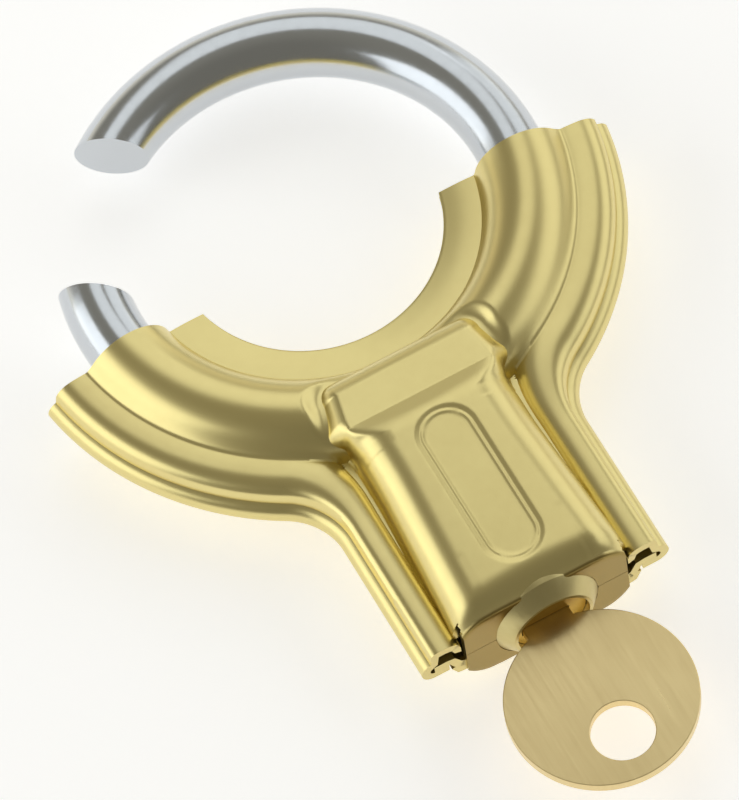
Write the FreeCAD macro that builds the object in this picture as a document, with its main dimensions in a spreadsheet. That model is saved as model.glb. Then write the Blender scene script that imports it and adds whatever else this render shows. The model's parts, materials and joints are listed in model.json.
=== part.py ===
"""A brass padlock whose steel ring turns in a tunnel between two pressed shells.

Millimetres.  The origin is the centre of the ring, on the plane where the shells meet.
+Z leaves the front face, +X is the right arm and the keyhole looks along -Y.  The lock is
shown open: the gap of the ring stands outside the arms, and the key is in the cylinder.
"""
import FreeCAD, Part
import math
import os

from FreeCAD import Placement, Rotation, Vector
import Sketcher

SIZES = [
    # the ring
    ("ring_radius", 28.3, "centre of the ring to the centre line of its rod"),
    ("rod_radius", 4.5, "round steel rod"),
    ("gap_width", 21.2, "clear width between the parallel ends of the ring"),
    ("gap_direction", 147.0, "degrees from +X to the middle of the gap, lock open"),
    ("running_gap", 0.3, "between the rod and whatever it passes"),
    # the pressed shells
    ("sheet", 1.2, "thickness of the brass sheet"),
    ("tunnel_offset", 0.3, "middle of the tunnel outside the ring's centre line"),
    ("tunnel_gap", 0.5, "between the rod and the sides of the tunnel"),
    ("tunnel_lift", 0.8, "straight wall under the round of the tunnel"),
    ("flange_width", 4.9, "flat flange along the inside of the arms"),
    ("rim_width", 6.2, "from the tunnel to the outer edge of the arms"),
    ("ridge_radius", 2.9, "round of the ridge beside the hem"),
    ("ridge_lift", 0.8, "straight wall under the ridges"),
    ("ridge_inset", 4.2, "outer edge to the middle of the front ridge"),
    ("rear_ridge_radius", 2.4, "smaller ridge of the rear shell"),
    ("hem_return", 2.0, "length of sheet folded back under the rear flange"),
    ("hem_gap", 0.2, "between the folded sheet and the rear ridge"),
    ("web_height", 1.9, "flat floor of the creases between the beads"),
    ("arm_end_drop", 2.4, "arm ends, measured down the middle line"),
    ("arm_end_tilt", 4.9, "degrees that the arm ends fall away outwards"),
    ("flank_half_width", 17.6, "middle line to the straight outer edge"),
    ("neck_radius", 9.0, "concave corner between arm and flank"),
    ("flank_setback", 0.1, "end of the flank edges behind the end wall"),
    # the raised box
    ("box_half_width", 9.9, "half width where the box rises from the tunnel"),
    ("box_end_half_width", 12.3, "half width at the end wall"),
    ("box_height", 8.7, "flat panel above the seam"),
    ("box_corner", 5.0, "rounding along the long edges of the panel"),
    ("box_start", 4.7, "start of the box inside the ring's centre line"),
    ("box_foot", 4.6, "height where the box leaves the tunnel"),
    ("shoulder_start", 3.7, "bend of the shoulder inside the ring's centre line"),
    ("shoulder_height", 6.4, "height of that bend"),
    ("facet_start", 1.8, "start of the facet inside the ring's centre line"),
    ("facet_end", 3.3, "crease outside the ring's centre line"),
    ("facet_low", 7.3, "height where the facet starts"),
    ("facet_high", 7.5, "height of the crease"),
    ("ramp_length", 3.2, "from the crease to the flat of the panel"),
    ("end_overhang", 1.1, "round of the end edge cut off by the end wall"),
    ("tab_relief", 0.8, "folded end tab inside the walls of the box, each side"),
    ("field_length", 23.8, "obround field on the panel"),
    ("field_width", 7.4, "width of the obround field"),
    ("field_depth", 0.25, "depth of the obround field"),
    ("field_distance", 15.8, "end wall to the middle of the field"),
    # the cast case
    ("case_gap", 0.15, "between the case and the shells"),
    ("slide_gap", 0.1, "between the bolt and the case"),
    ("case_lead", 1.2, "front of the case behind the nose of the bolt"),
    ("screw_radius", 0.9, "shank of the case screws"),
    ("screw_head_radius", 1.5, "head of the case screws"),
    ("screw_head_height", 1.0, "height of the screw heads"),
    ("screw_seat", 4.2, "seat of the screw heads above the seam"),
    ("screw_depth", 4.5, "end of the screws below the seam"),
    ("screw_margin", 4.0, "outside of the box at the end wall to the screws"),
    ("screw_slot", 0.4, "width and depth of the driver slots"),
    # the bolt
    ("bolt_margin", 1.5, "outside of the box, where it rises, to the side of the bolt"),
    ("bolt_half_height", 5.4, "half height of the body of the bolt"),
    ("nose_half_height", 4.4, "half height of its nose"),
    ("nose_length", 6.0, "length of the nose"),
    ("bolt_length", 12.9, "whole length of the bolt"),
    ("bolt_room", 1.5, "between the bolt and the cylinder"),
    ("bolt_counterbore", 1.8, "recess in the bolt for the end of the plug"),
    ("follower_radius", 1.0, "pin in the bolt that rides on the cam"),
    ("follower_inset", 3.2, "rear of the bolt to the follower"),
    ("spring_margin", 1.8, "side of the bolt to the middle of its springs"),
    ("spring_radius", 1.3, "outside of the bolt springs"),
    ("spring_wire", 0.25, "half thickness of their wire"),
    ("spring_turns", 7, "turns of a bolt spring"),
    ("pocket_depth", 7.0, "spring pockets in the bolt"),
    # the cylinder
    ("plug_radius", 5.0, "round plug"),
    ("plug_gap", 0.1, "between plug and housing"),
    ("housing_radius", 6.4, "body of the housing"),
    ("housing_web", 0.8, "inner end wall of the housing"),
    ("collar_radius", 7.45, "round collar in the end wall"),
    ("collar_step", 0.2, "straight part of the collar in front of the wall"),
    ("collar_cone", 2.1, "conical part of the collar"),
    ("collar_rim", 0.45, "flat rim round the mouth"),
    ("collar_seat", 1.0, "collar behind the end wall"),
    ("plug_recess", 1.0, "face of the plug inside the mouth"),
    ("tail_radius", 3.6, "tail of the plug"),
    ("tail_length", 2.0, "tail beyond the housing"),
    ("groove_radius", 3.0, "bottom of the clip groove"),
    ("clip_radius", 4.6, "outside of the retaining clip"),
    ("clip_height", 0.5, "thickness of the retaining clip"),
    ("clip_mouth_half", 2.4, "half width of the mouth of the clip"),
    ("fit_gap", 0.05, "between pieces that are fitted together"),
    ("cam_radius", 3.2, "head of the cam"),
    ("cam_core_radius", 1.7, "shaft of the cam"),
    ("cam_slope", 54.74, "degrees of its sloping face"),
    ("cam_gap", 0.2, "between the cam and the follower at full turn"),
    ("cam_clear", 1.2, "front of the cam behind the ring"),
    ("tang_half_width", 2.5, "flat tang of the cam, half width"),
    ("tang_half_height", 0.95, "half thickness of the tang"),
    ("tang_length", 2.6, "length of the tang"),
    ("cam_pin_radius", 0.5, "cross pin through tail and tang"),
    ("cam_pin_inset", 0.7, "end of the tail to the cross pin"),
    # the pins
    ("pin_radius", 1.3, "key pins and driver pins"),
    ("pin_gap", 0.08, "between a pin and its chamber"),
    ("pin_pitch", 3.1, "from one pin to the next"),
    ("last_pin", 2.3, "end of the bore to the innermost pin"),
    ("first_pin", 2.0, "end wall to the outermost pin"),
    ("pin_top", 4.75, "shear end of the key pins"),
    ("pin_tip", 0.5, "length of their pointed tips"),
    ("driver_bottom", 5.08, "shear end of the driver pins"),
    ("driver_length", 1.62, "length of the driver pins"),
    ("chamber_top", 8.9, "outer end of the chambers"),
    ("chamber_floor", 0.9, "inner end of the chambers past the middle"),
    ("block_half_width", 2.0, "half width of the chamber block"),
    ("cover_height", 0.5, "strip that closes the chambers"),
    ("pin_spring_radius", 1.1, "outside of the pin springs"),
    ("pin_spring_wire", 0.15, "half thickness of their wire"),
    ("pin_spring_turns", 3, "turns of a pin spring"),
    # the key
    ("key_height", 1.5, "thickness of the key"),
    ("key_gap", 0.1, "between the blade and the keyway"),
    ("bow_radius", 12.3, "round bow"),
    ("bow_sink", 0.05, "edge of the bow inside the mouth of the collar"),
    ("key_hole_radius", 4.1, "hole in the bow"),
    ("key_hole_offset", 5.4, "middle of the bow to the middle of the hole"),
    ("blade_back", 4.0, "middle line to the back of the blade"),
    ("blade_top", 2.6, "middle line to the uncut edge of the blade"),
    ("blade_tip_gap", 0.6, "tip of the blade before the end of the bore"),
    ("blade_tip_drop", 1.4, "tip of the blade past the middle line"),
    ("cut_flat", 0.8, "half length of the flat of a cut"),
    ("cut_one", 1.9, "height left under the outermost pin"),
    ("cut_step", 0.6, "each further cut is deeper by this"),
    ("cut_lead", 0.9, "run of the slope in front of the outermost cut"),
]

NODES = []
TURNS = {
    "x": Rotation(Vector(0, 1, 0), 90),
    "y": Rotation(Vector(1, 0, 0), -90),
    "z": Rotation(),
}
UP = Vector(0, 0, 1)
PIN_COUNT = 4
COIL_SIDES = 10
WIRE_SIDES = 6


class Size:
    """A length or angle with the expression that the document keeps for it."""

    def __init__(self, text, value):
        self.text = text
        self.value = value

    def __float__(self):
        return float(self.value)

    def __add__(self, other):
        other = as_size(other)
        return Size(f"({self.text} + {other.text})", self.value + other.value)

    def __sub__(self, other):
        other = as_size(other)
        return Size(f"({self.text} - {other.text})", self.value - other.value)

    def __mul__(self, other):
        other = as_size(other)
        return Size(f"({self.text} * {other.text})", self.value * other.value)

    def __truediv__(self, other):
        other = as_size(other)
        return Size(f"({self.text} / {other.text})", self.value / other.value)

    def __rsub__(self, other):
        return as_size(other) - self

    def __neg__(self):
        return Size(f"(-{self.text})", -self.value)

    __radd__ = __add__
    __rmul__ = __mul__


def as_size(amount):
    if isinstance(amount, Size):
        return amount
    return Size(f"({amount})", amount)


def root(amount):
    return Size(f"sqrt({amount.text})", math.sqrt(amount.value))


def tangent(angle):
    return Size(f"tan({angle.text} * 1deg)", math.tan(math.radians(angle.value)))


def point(x, y, z):
    return Vector(float(x), float(y), float(z))


def fill_sheet(doc):
    """Write every driving size into the sheet and return them by name."""
    sheet = doc.addObject("Spreadsheet::Sheet", "Sizes")
    for row, (alias, value, meaning) in enumerate(SIZES, start=1):
        sheet.set(f"A{row}", str(value))
        sheet.setAlias(f"A{row}", alias)
        sheet.set(f"B{row}", meaning)
    doc.recompute()
    return {
        alias: Size(f"Sizes.{alias}", sheet.get(alias)) for alias, _value, _meaning in SIZES
    }


# objects whose sizes are bound to the sheet

def add(kind, name, sizes, spot=(0, 0, 0), turn=None):
    item = doc.addObject(kind, name)
    item.Placement = Placement(Vector(), turn or Rotation())
    for path, amount in sizes.items():
        item.setExpression(path, as_size(amount).text)
    for axis, amount in zip("xyz", spot):
        item.setExpression(f"Placement.Base.{axis}", as_size(amount).text)
    return item


def box(name, low, high):
    spans = [top - bottom for bottom, top in zip(low, high)]
    return add("Part::Box", name, dict(zip(("Length", "Width", "Height"), spans)), low)


def spot_on(axis, start, across):
    first, second = across
    return {
        "x": (start, first, second),
        "y": (first, start, second),
        "z": (first, second, start),
    }[axis]


def rod(name, axis, radius, start, end, across=(0, 0)):
    sizes = {"Radius": radius, "Height": end - start}
    return add("Part::Cylinder", name, sizes, spot_on(axis, start, across), TURNS[axis])


def cone(name, axis, radius, end_radius, start, end, across=(0, 0)):
    sizes = {"Radius1": radius, "Radius2": end_radius, "Height": end - start}
    return add("Part::Cone", name, sizes, spot_on(axis, start, across), TURNS[axis])


def join(name, items):
    joined = doc.addObject("Part::MultiFuse", name)
    joined.Shapes = items
    joined.Refine = True
    return joined


def cut(name, base, tools):
    less = doc.addObject("Part::Cut", name)
    less.Base = base
    less.Tool = tools[0] if len(tools) == 1 else join(f"{name}_cuts", tools)
    return less


def group(name, items, spot=(0, 0, 0), turn=None):
    together = add("Part::Compound", name, {}, spot, turn)
    together.Links = items
    return together


def shaped(name, shape, placement=Placement()):
    item = doc.addObject("Part::Feature", name)
    item.Shape = shape
    item.Placement = placement
    return item


def keep(item):
    NODES.append(item.Name)
    return item


def outline_pad(body, name, corners, height):
    """Pad a closed outline of straight edges, each corner tied to the sheet."""
    sketch = body.newObject("Sketcher::SketchObject", f"{name}_sketch")
    plane = next(f for f in body.Origin.OriginFeatures if f.Role == "XY_Plane")
    sketch.AttachmentSupport = (plane, [""])
    sketch.MapMode = "FlatFace"
    flat = [point(x, y, 0) for x, y in corners]
    count = len(flat)
    for index in range(count):
        sketch.addGeometry(Part.LineSegment(flat[index], flat[(index + 1) % count]), False)
    for index in range(count):
        after = (index + 1) % count
        sketch.addConstraint(Sketcher.Constraint("Coincident", index, 2, after, 1))
    for index, corner in enumerate(corners):
        for kind, amount in zip(("DistanceX", "DistanceY"), corner):
            rule = Sketcher.Constraint(kind, -1, 1, index, 1, float(amount))
            number = sketch.addConstraint(rule)
            sketch.setExpression(f"Constraints[{number}]", as_size(amount).text)
    return pad(body, name, sketch, height)


def disc_sketch(body, name, radius, y):
    sketch = body.newObject("Sketcher::SketchObject", f"{name}_sketch")
    plane = next(f for f in body.Origin.OriginFeatures if f.Role == "XY_Plane")
    sketch.AttachmentSupport = (plane, [""])
    sketch.MapMode = "FlatFace"
    sketch.addGeometry(Part.Circle(point(0, y, 0), UP, float(radius)), False)
    sketch.addConstraint(Sketcher.Constraint("PointOnObject", 0, 3, -2))
    number = sketch.addConstraint(Sketcher.Constraint("Radius", 0, float(radius)))
    sketch.setExpression(f"Constraints[{number}]", radius.text)
    number = sketch.addConstraint(Sketcher.Constraint("DistanceY", -1, 1, 0, 3, float(y)))
    sketch.setExpression(f"Constraints[{number}]", y.text)
    return sketch


def pad(body, name, sketch, height):
    solid = body.newObject("PartDesign::Pad", name)
    solid.Profile = sketch
    solid.Midplane = True
    solid.setExpression("Length", height.text)
    return solid


# sections and sweeps of the pressed sheet, inset by its thickness for the inner face

def dome(x, lift, radius):
    """A half disc on straight legs, standing on the seam."""
    low = [point(x - radius, 0, 0), point(x + radius, 0, 0)]
    high = [point(x - radius, 0, lift), point(x + radius, 0, lift)]
    edges = [Part.LineSegment(*low), Part.Arc(high[1], point(x, 0, lift + radius), high[0])]
    if float(lift) > 0:
        edges += [Part.LineSegment(low[1], high[1]), Part.LineSegment(high[0], low[0])]
    return section(edges)


def disc(x, z, radius):
    return section([Part.Circle(point(x, 0, z), Vector(0, 1, 0), float(radius))])


def slab(x_low, x_high, z_low, z_high):
    corners = [(x_low, z_low), (x_high, z_low), (x_high, z_high), (x_low, z_high)]
    corners.append(corners[0])
    return Part.Face(Part.makePolygon([point(x, 0, z) for x, z in corners]))


def section(curves):
    edges = Part.__sortEdges__([curve.toShape() for curve in curves])
    return Part.Face(Part.Wire(edges))


def round_arms(face):
    """Turn a section through the half circle of the two arms."""
    start = face.copy()
    start.rotate(Vector(), UP, 180)
    return start.revolve(Vector(), UP, 180)


def round_rim(face):
    """Carry a section of the right arm's rim round the neck and down the flank, and mirror it."""
    turn = math.degrees(math.atan2(-float(neck_y), float(neck_x)))
    centre = point(neck_x, neck_y, 0)
    at_neck = face.copy()
    at_neck.rotate(Vector(), UP, -turn)
    at_flank = at_neck.copy()
    at_flank.rotate(centre, UP, turn)
    run = point(0, flank_end - neck_y, 0)
    arm = at_neck.revolve(Vector(), UP, turn)
    neck = at_neck.revolve(centre, UP, turn)
    side = arm.fuse([neck, at_flank.extrude(run)])
    return side.fuse(side.mirror(Vector(), Vector(1, 0, 0)))


def neck_floor(height):
    """The flat floor between the flanks, from the end of the flanks up to the tunnel."""
    reach = float(neck_radius + ridge_inset)
    scale = float(outer_radius - ridge_inset) / float(outer_radius + neck_radius)
    touch = point(neck_x * scale, neck_y * scale, 0)
    centre = point(neck_x, neck_y, 0)
    middle = (touch - centre).normalize() + Vector(-1, 0, 0)
    through = centre + middle.normalize() * reach
    side = point(neck_x - reach, neck_y, 0)
    foot = point(neck_x - reach, flank_end, 0)
    half = [Part.LineSegment(foot, side), Part.Arc(side, through, touch)]
    edges = [curve.toShape() for curve in half]
    edges += [edge.mirror(Vector(), Vector(1, 0, 0)) for edge in edges]
    for end in (foot, touch):
        edges.append(Part.makeLine(end, Vector(-end.x, end.y, 0)))
    face = Part.Face(Part.Wire(Part.__sortEdges__(edges)))
    return face.extrude(point(0, 0, height))


def box_form(inset):
    """The raised box: rounded along its sides and its end, with the facet over the ring."""
    top = float(box_height - inset)
    front = float(box_half_width - inset)
    rear = float(box_end_half_width - inset)
    near, far = float(box_start_y), float(wall_face - end_overhang + inset)
    plan = [Vector(-front, near), Vector(front, near), Vector(rear, far), Vector(-rear, far)]
    block = Part.Face(Part.makePolygon(plan + plan[:1])).extrude(Vector(0, 0, top))
    upper_edges = []
    for edge in block.Edges:
        first, last = (vertex.Point for vertex in edge.Vertexes)
        if min(first.z, last.z) > top / 2 and min(first.y, last.y) < near - front:
            upper_edges.append(edge)
    rounded = block.makeFillet(float(box_corner - inset), upper_edges)
    tunnel_side = box_start_y - inset
    profile = [
        (tunnel_side, 0),
        (tunnel_side, box_foot),
        (-(ring_radius - shoulder_start), shoulder_height - inset),
        (-(ring_radius - facet_start), facet_low - inset),
        (crease_y, facet_high - inset),
        (crease_y - ramp_length, box_height - inset),
        (wall_face + inset, box_height - inset),
        (wall_face + inset, 0),
    ]
    profile.append(profile[0])
    wide = float(box_end_half_width)
    side = Part.Face(Part.makePolygon([point(-wide, y, z) for y, z in profile]))
    prism = side.extrude(Vector(2 * wide, 0, 0))
    return rounded.common(prism)


def press_form(inset, rim_ridge):
    """All that lies under one face of the pressing, from the seam upwards."""
    forms = [
        round_arms(dome(tunnel_middle, tunnel_lift, tunnel_radius - inset)),
        round_arms(slab(tunnel_middle, outer_radius - ridge_inset, 0, web_height - inset)),
        round_rim(rim_ridge),
        neck_floor(web_height - inset),
    ]
    if not inset:
        forms.append(round_arms(slab(inner_radius + sheet, tunnel_middle, 0, sheet)))
        forms.append(round_arms(dome(inner_radius + sheet, 0, sheet)))
    return box_form(inset).fuse(forms)


def trim_ends(shape):
    """Cut the arms off along their slightly falling ends and relieve the end tab's corners."""
    far = float(outer_radius) * 2
    fall = far * math.tan(math.radians(float(arm_end_tilt)))
    drop = -float(arm_end_drop)
    roof = [(0, drop), (far, drop - fall), (far, far), (-far, far), (-far, drop - fall), (0, drop)]
    face = Part.Face(Part.makePolygon([Vector(x, y, -far) for x, y in roof]))
    tools = [face.extrude(Vector(0, 0, 2 * far))]
    relief = float(tab_relief) * 2
    depth = float(flank_setback + sheet)
    for side in (-1, 1):
        middle = side * (float(tab_half_width) + relief / 2)
        corner = Vector(middle - relief / 2, float(wall_face) - depth, -float(box_height))
        notch = Part.makeBox(relief, depth + float(sheet), 2 * float(box_height), corner)
        tools.append(notch)
    length = float(collar_step + collar_seat + sheet)
    mouth = float(collar_radius + slide_gap)
    start = point(0, wall_face - collar_step, 0)
    tools.append(Part.makeCylinder(mouth, length, start, Vector(0, 1, 0)))
    return shape.cut(tools)


def obround():
    """The shallow field pressed into the panel."""
    half = float(field_length - field_width) / 2
    wide = float(field_width) / 2
    middle = float(wall_face + field_distance)
    floor = float(box_height - field_depth)
    above = float(sheet)
    pieces = [Part.makeBox(2 * wide, 2 * half, above, Vector(-wide, middle - half, floor))]
    for y in (middle - half, middle + half):
        pieces.append(Part.makeCylinder(wide, above, Vector(0, y, floor)))
    return pieces[0].fuse(pieces[1:])


def front_pressing():
    """The front shell, with its edge folded round the flange of the rear shell."""
    ridge = outer_radius - ridge_inset
    outer = press_form(0, dome(ridge, ridge_lift, ridge_radius))
    inner = press_form(float(sheet), dome(ridge, ridge_lift, ridge_radius - sheet))
    fold = outer_radius - fold_radius
    middle = -sheet / 2
    under = round_rim(slab(fold - hem_return, fold, -sheet * 2, -sheet))
    slot = round_rim(slab(ridge, fold, -sheet, 0)).fuse(round_rim(disc(fold, middle, sheet / 2)))
    hemmed = outer.cut([inner, obround()]).fuse([round_rim(disc(fold, middle, fold_radius)), under])
    return trim_ends(hemmed.cut(slot))


def rear_pressing():
    """The rear shell, whose flat flange lies in the fold of the front shell."""
    ridge = outer_radius - fold_radius - hem_return - hem_gap - rear_ridge_radius
    outer = press_form(0, dome(ridge, ridge_lift, rear_ridge_radius))
    inner = press_form(float(sheet), dome(ridge, ridge_lift, rear_ridge_radius - sheet))
    bowl = outer.cut(inner).mirror(Vector(), UP)
    leg = ridge + rear_ridge_radius - sheet
    flange = round_rim(slab(leg, outer_radius - fold_radius, -sheet, 0))
    return trim_ends(bowl.fuse(flange))


def coil(radius, wire, turns, length):
    """A compression spring: one wire that climbs evenly along +Z from the origin."""
    radius, wire, length = float(radius), float(wire), float(length)
    steps = int(float(turns)) * COIL_SIDES
    climb = (length - 2 * wire) / steps
    rings = []
    for step in range(steps + 1):
        angle = 2 * math.pi * step / COIL_SIDES
        height = wire + climb * step
        outward = Vector(math.cos(angle), math.sin(angle), 0)
        middle = outward * (radius - wire) + UP * height
        corners = []
        for side in range(WIRE_SIDES):
            around = 2 * math.pi * side / WIRE_SIDES
            offset = outward * math.cos(around) + UP * math.sin(around)
            corners.append(middle + offset * wire)
        rings.append(Part.makePolygon(corners + corners[:1]))
    return Part.makeLoft(rings, True, True)


doc = FreeCAD.newDocument("Padlock")
sizes = fill_sheet(doc)
(
    ring_radius, rod_radius, gap_width, gap_direction, running_gap,
    sheet, tunnel_offset, tunnel_gap, tunnel_lift, flange_width, rim_width, ridge_radius,
    ridge_lift, ridge_inset, rear_ridge_radius, hem_return, hem_gap, web_height,
    arm_end_drop, arm_end_tilt, flank_half_width, neck_radius, flank_setback,
    box_half_width, box_end_half_width, box_height, box_corner, box_start, box_foot,
    shoulder_start, shoulder_height, facet_start, facet_end, facet_low, facet_high,
    ramp_length, end_overhang, tab_relief,
    field_length, field_width, field_depth, field_distance,
    case_gap, slide_gap, case_lead, screw_radius, screw_head_radius, screw_head_height,
    screw_seat, screw_depth, screw_margin, screw_slot,
    bolt_margin, bolt_half_height, nose_half_height, nose_length, bolt_length, bolt_room,
    bolt_counterbore, follower_radius, follower_inset, spring_margin, spring_radius, spring_wire,
    spring_turns, pocket_depth,
    plug_radius, plug_gap, housing_radius, housing_web, collar_radius, collar_step, collar_cone,
    collar_rim, collar_seat, plug_recess, tail_radius, tail_length, groove_radius, clip_radius,
    clip_height, clip_mouth_half, fit_gap, cam_radius, cam_core_radius, cam_slope, cam_gap, cam_clear,
    tang_half_width, tang_half_height, tang_length, cam_pin_radius, cam_pin_inset,
    pin_radius, pin_gap, pin_pitch, last_pin, first_pin, pin_top, pin_tip, driver_bottom,
    driver_length, chamber_top, chamber_floor, block_half_width, cover_height,
    pin_spring_radius, pin_spring_wire, pin_spring_turns,
    key_height, key_gap, bow_radius, bow_sink, key_hole_radius, key_hole_offset, blade_back,
    blade_top, blade_tip_gap, blade_tip_drop, cut_flat, cut_one, cut_step, cut_lead,
) = sizes.values()

# what follows from the sizes, from the ring outwards and then down to the key
tunnel_middle = ring_radius + tunnel_offset
tunnel_radius = rod_radius + tunnel_gap + sheet
inner_radius = tunnel_middle - tunnel_radius - flange_width
outer_radius = tunnel_middle + tunnel_radius + rim_width
fold_radius = sheet * 1.5
neck_x = flank_half_width + neck_radius
neck_span = outer_radius + neck_radius
neck_y = -root(neck_span * neck_span - neck_x * neck_x)
nose_y = -(ring_radius + rod_radius + running_gap)
tab_half_width = box_end_half_width - tab_relief
bolt_half_width = box_half_width - bolt_margin
bolt_rear = nose_y - bolt_length
follower_y = bolt_rear + follower_inset
spring_aside = bolt_half_width - spring_margin
screw_aside = box_end_half_width - screw_margin
housing_end = bolt_rear - bolt_room
bore_end = housing_end - housing_web
pin_rows = [bore_end - last_pin - pin_pitch * (PIN_COUNT - 1 - row) for row in range(PIN_COUNT)]
wall_back = pin_rows[0] - first_pin
wall_face = wall_back - sheet
flank_end = wall_face + flank_setback
collar_edge = wall_face - collar_step
mouth_y = collar_edge - collar_cone
plug_face = mouth_y + plug_recess
box_start_y = -(ring_radius - box_start)
crease_y = -(ring_radius + facet_end)
bow_y = mouth_y + bow_sink - bow_radius
bore_radius = plug_radius + plug_gap
chamber_radius = pin_radius + pin_gap
beyond = fit_gap * 2

# the ring, turned to the open position of the photograph
ring_rod = add("Part::Torus", "ring_rod", {"Radius1": ring_radius, "Radius2": rod_radius})
ring_gap = box(
    "ring_gap",
    (0, -gap_width / 2, -rod_radius * 2),
    (outer_radius, gap_width / 2, rod_radius * 2),
)
shackle_ring = keep(cut("shackle_ring", ring_rod, [ring_gap]))
shackle_ring.Placement = Placement(Vector(), Rotation(UP, float(gap_direction)))
shackle_ring.setExpression("Placement.Rotation.Angle", gap_direction.text)

# the two pressings
keep(shaped("front_shell", front_pressing()))
keep(shaped("rear_shell", rear_pressing()))

# the inner case, which fills the raised boxes and carries the lock
case_front = nose_y - case_lead
case_cuts = [
    rod("case_bore", "y", housing_radius + slide_gap, wall_back, housing_end),
    rod("case_collar", "y", collar_radius + slide_gap, wall_back, wall_back + collar_seat + slide_gap),
    box(
        "case_chamber",
        (0, wall_back, -(block_half_width + slide_gap)),
        (chamber_top + cover_height + slide_gap, bore_end - last_pin + first_pin, block_half_width + slide_gap),
    ),
    box(
        "case_slide",
        (-(bolt_half_width + slide_gap), housing_end, -(bolt_half_height + slide_gap)),
        (bolt_half_width + slide_gap, nose_y, bolt_half_height + slide_gap),
    ),
]
screw_rows = [pin_rows[1] - pin_pitch / 2, bore_end - last_pin]
for row, y in enumerate(screw_rows):
    spot = (-screw_aside, y)
    case_cuts += [
        rod(f"screw_hole_{row}", "z", screw_radius, -screw_depth, screw_seat, spot),
        rod(f"screw_counterbore_{row}", "z", screw_head_radius + slide_gap, screw_seat, box_height, spot),
    ]
case_tools = join("case_tools", case_cuts)
case_form = box_form(float(sheet + case_gap))
case_length = float(case_front - wall_back - case_gap)
corner = point(-box_end_half_width, wall_back + case_gap, 0)
blank = Part.makeBox(float(box_end_half_width) * 2, case_length, float(box_height), corner)
case_form = case_form.common(blank)
halves = {"case_front_half": case_form, "case_rear_half": case_form.mirror(Vector(), UP)}
for name, form in halves.items():
    keep(cut(name, shaped(f"{name}_form", form), [case_tools]))

screws = []
for row, y in enumerate(screw_rows):
    spot = (-screw_aside, y)
    top = screw_seat + screw_head_height
    slot = box(
        f"screw_slot_{row}",
        (-(screw_aside + screw_head_radius), y - screw_slot / 2, top - screw_slot),
        (-(screw_aside - screw_head_radius), y + screw_slot / 2, top),
    )
    shank = rod(f"screw_shank_{row}", "z", screw_radius, -screw_depth, screw_seat, spot)
    head = rod(f"screw_head_{row}", "z", screw_head_radius, screw_seat, top, spot)
    screws.append(cut(f"screw_{row}", join(f"screw_blank_{row}", [shank, head]), [slot]))
keep(group("case_screws", screws))

# the housing of the cylinder, with its pin chambers to the right
collar_rim_radius = bore_radius + collar_rim
housing_solids = [
    cone("collar_face", "y", collar_rim_radius, collar_radius, mouth_y, collar_edge),
    rod("collar", "y", collar_radius, collar_edge, wall_back + collar_seat),
    rod("housing_body", "y", housing_radius, wall_back, housing_end),
    box(
        "chamber_block",
        (0, wall_back + running_gap, -block_half_width),
        (chamber_top, bore_end - last_pin + first_pin - slide_gap, block_half_width),
    ),
]
housing_cuts = [
    rod("housing_bore", "y", bore_radius, mouth_y - beyond, bore_end),
    rod("housing_hole", "y", tail_radius + plug_gap, bore_end - beyond, housing_end + beyond),
]
for row, y in enumerate(pin_rows):
    housing_cuts.append(
        rod(f"chamber_{row}", "x", chamber_radius, plug_radius - beyond, chamber_top + beyond, (y, 0))
    )
keep(cut("cylinder_housing", join("housing_blank", housing_solids), housing_cuts))
keep(
    box(
        "chamber_cover",
        (chamber_top, wall_back + running_gap, -block_half_width),
        (chamber_top + cover_height, bore_end - last_pin + first_pin - slide_gap, block_half_width),
    )
)

# the plug, its clip and the cam on its tail
tail_end = housing_end + tail_length
clip_start = housing_end + fit_gap
plug_solids = [
    rod("plug_body", "y", plug_radius, plug_face, bore_end - plug_gap),
    rod("plug_tail", "y", tail_radius, bore_end - plug_gap, tail_end),
]
keyway_half = key_height / 2 + key_gap
plug_cuts = [
    box(
        "keyway",
        (-(blade_back + key_gap), plug_face - beyond, -keyway_half),
        (blade_top + key_gap, bore_end - blade_tip_gap / 2, keyway_half),
    ),
    box(
        "tang_slot",
        (-(tang_half_width + fit_gap), tail_end - tang_length, -(tang_half_height + fit_gap)),
        (tang_half_width + fit_gap, tail_end + beyond, tang_half_height + fit_gap),
    ),
    rod("plug_pin_hole", "z", cam_pin_radius, -tail_radius, tail_radius, (0, tail_end - cam_pin_inset)),
    cut(
        "clip_groove",
        rod("groove_outer", "y", tail_radius + beyond, housing_end, clip_start + clip_height + fit_gap),
        [rod("groove_inner", "y", groove_radius, housing_end - beyond, tail_end)],
    ),
]
for row, y in enumerate(pin_rows):
    plug_cuts.append(
        rod(f"plug_chamber_{row}", "x", chamber_radius, -chamber_floor, plug_radius + beyond, (y, 0))
    )
keep(cut("plug", join("plug_blank", plug_solids), plug_cuts))

clip_tube = cut(
    "clip_tube",
    rod("clip_outer", "y", clip_radius, clip_start, clip_start + clip_height),
    [rod("clip_inner", "y", groove_radius + fit_gap, clip_start - beyond, tail_end)],
)
clip_mouth = box(
    "clip_mouth",
    (-clip_mouth_half, clip_start - beyond, -clip_radius - beyond),
    (clip_mouth_half, tail_end, 0),
)
keep(cut("retaining_clip", clip_tube, [clip_mouth]))

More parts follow.
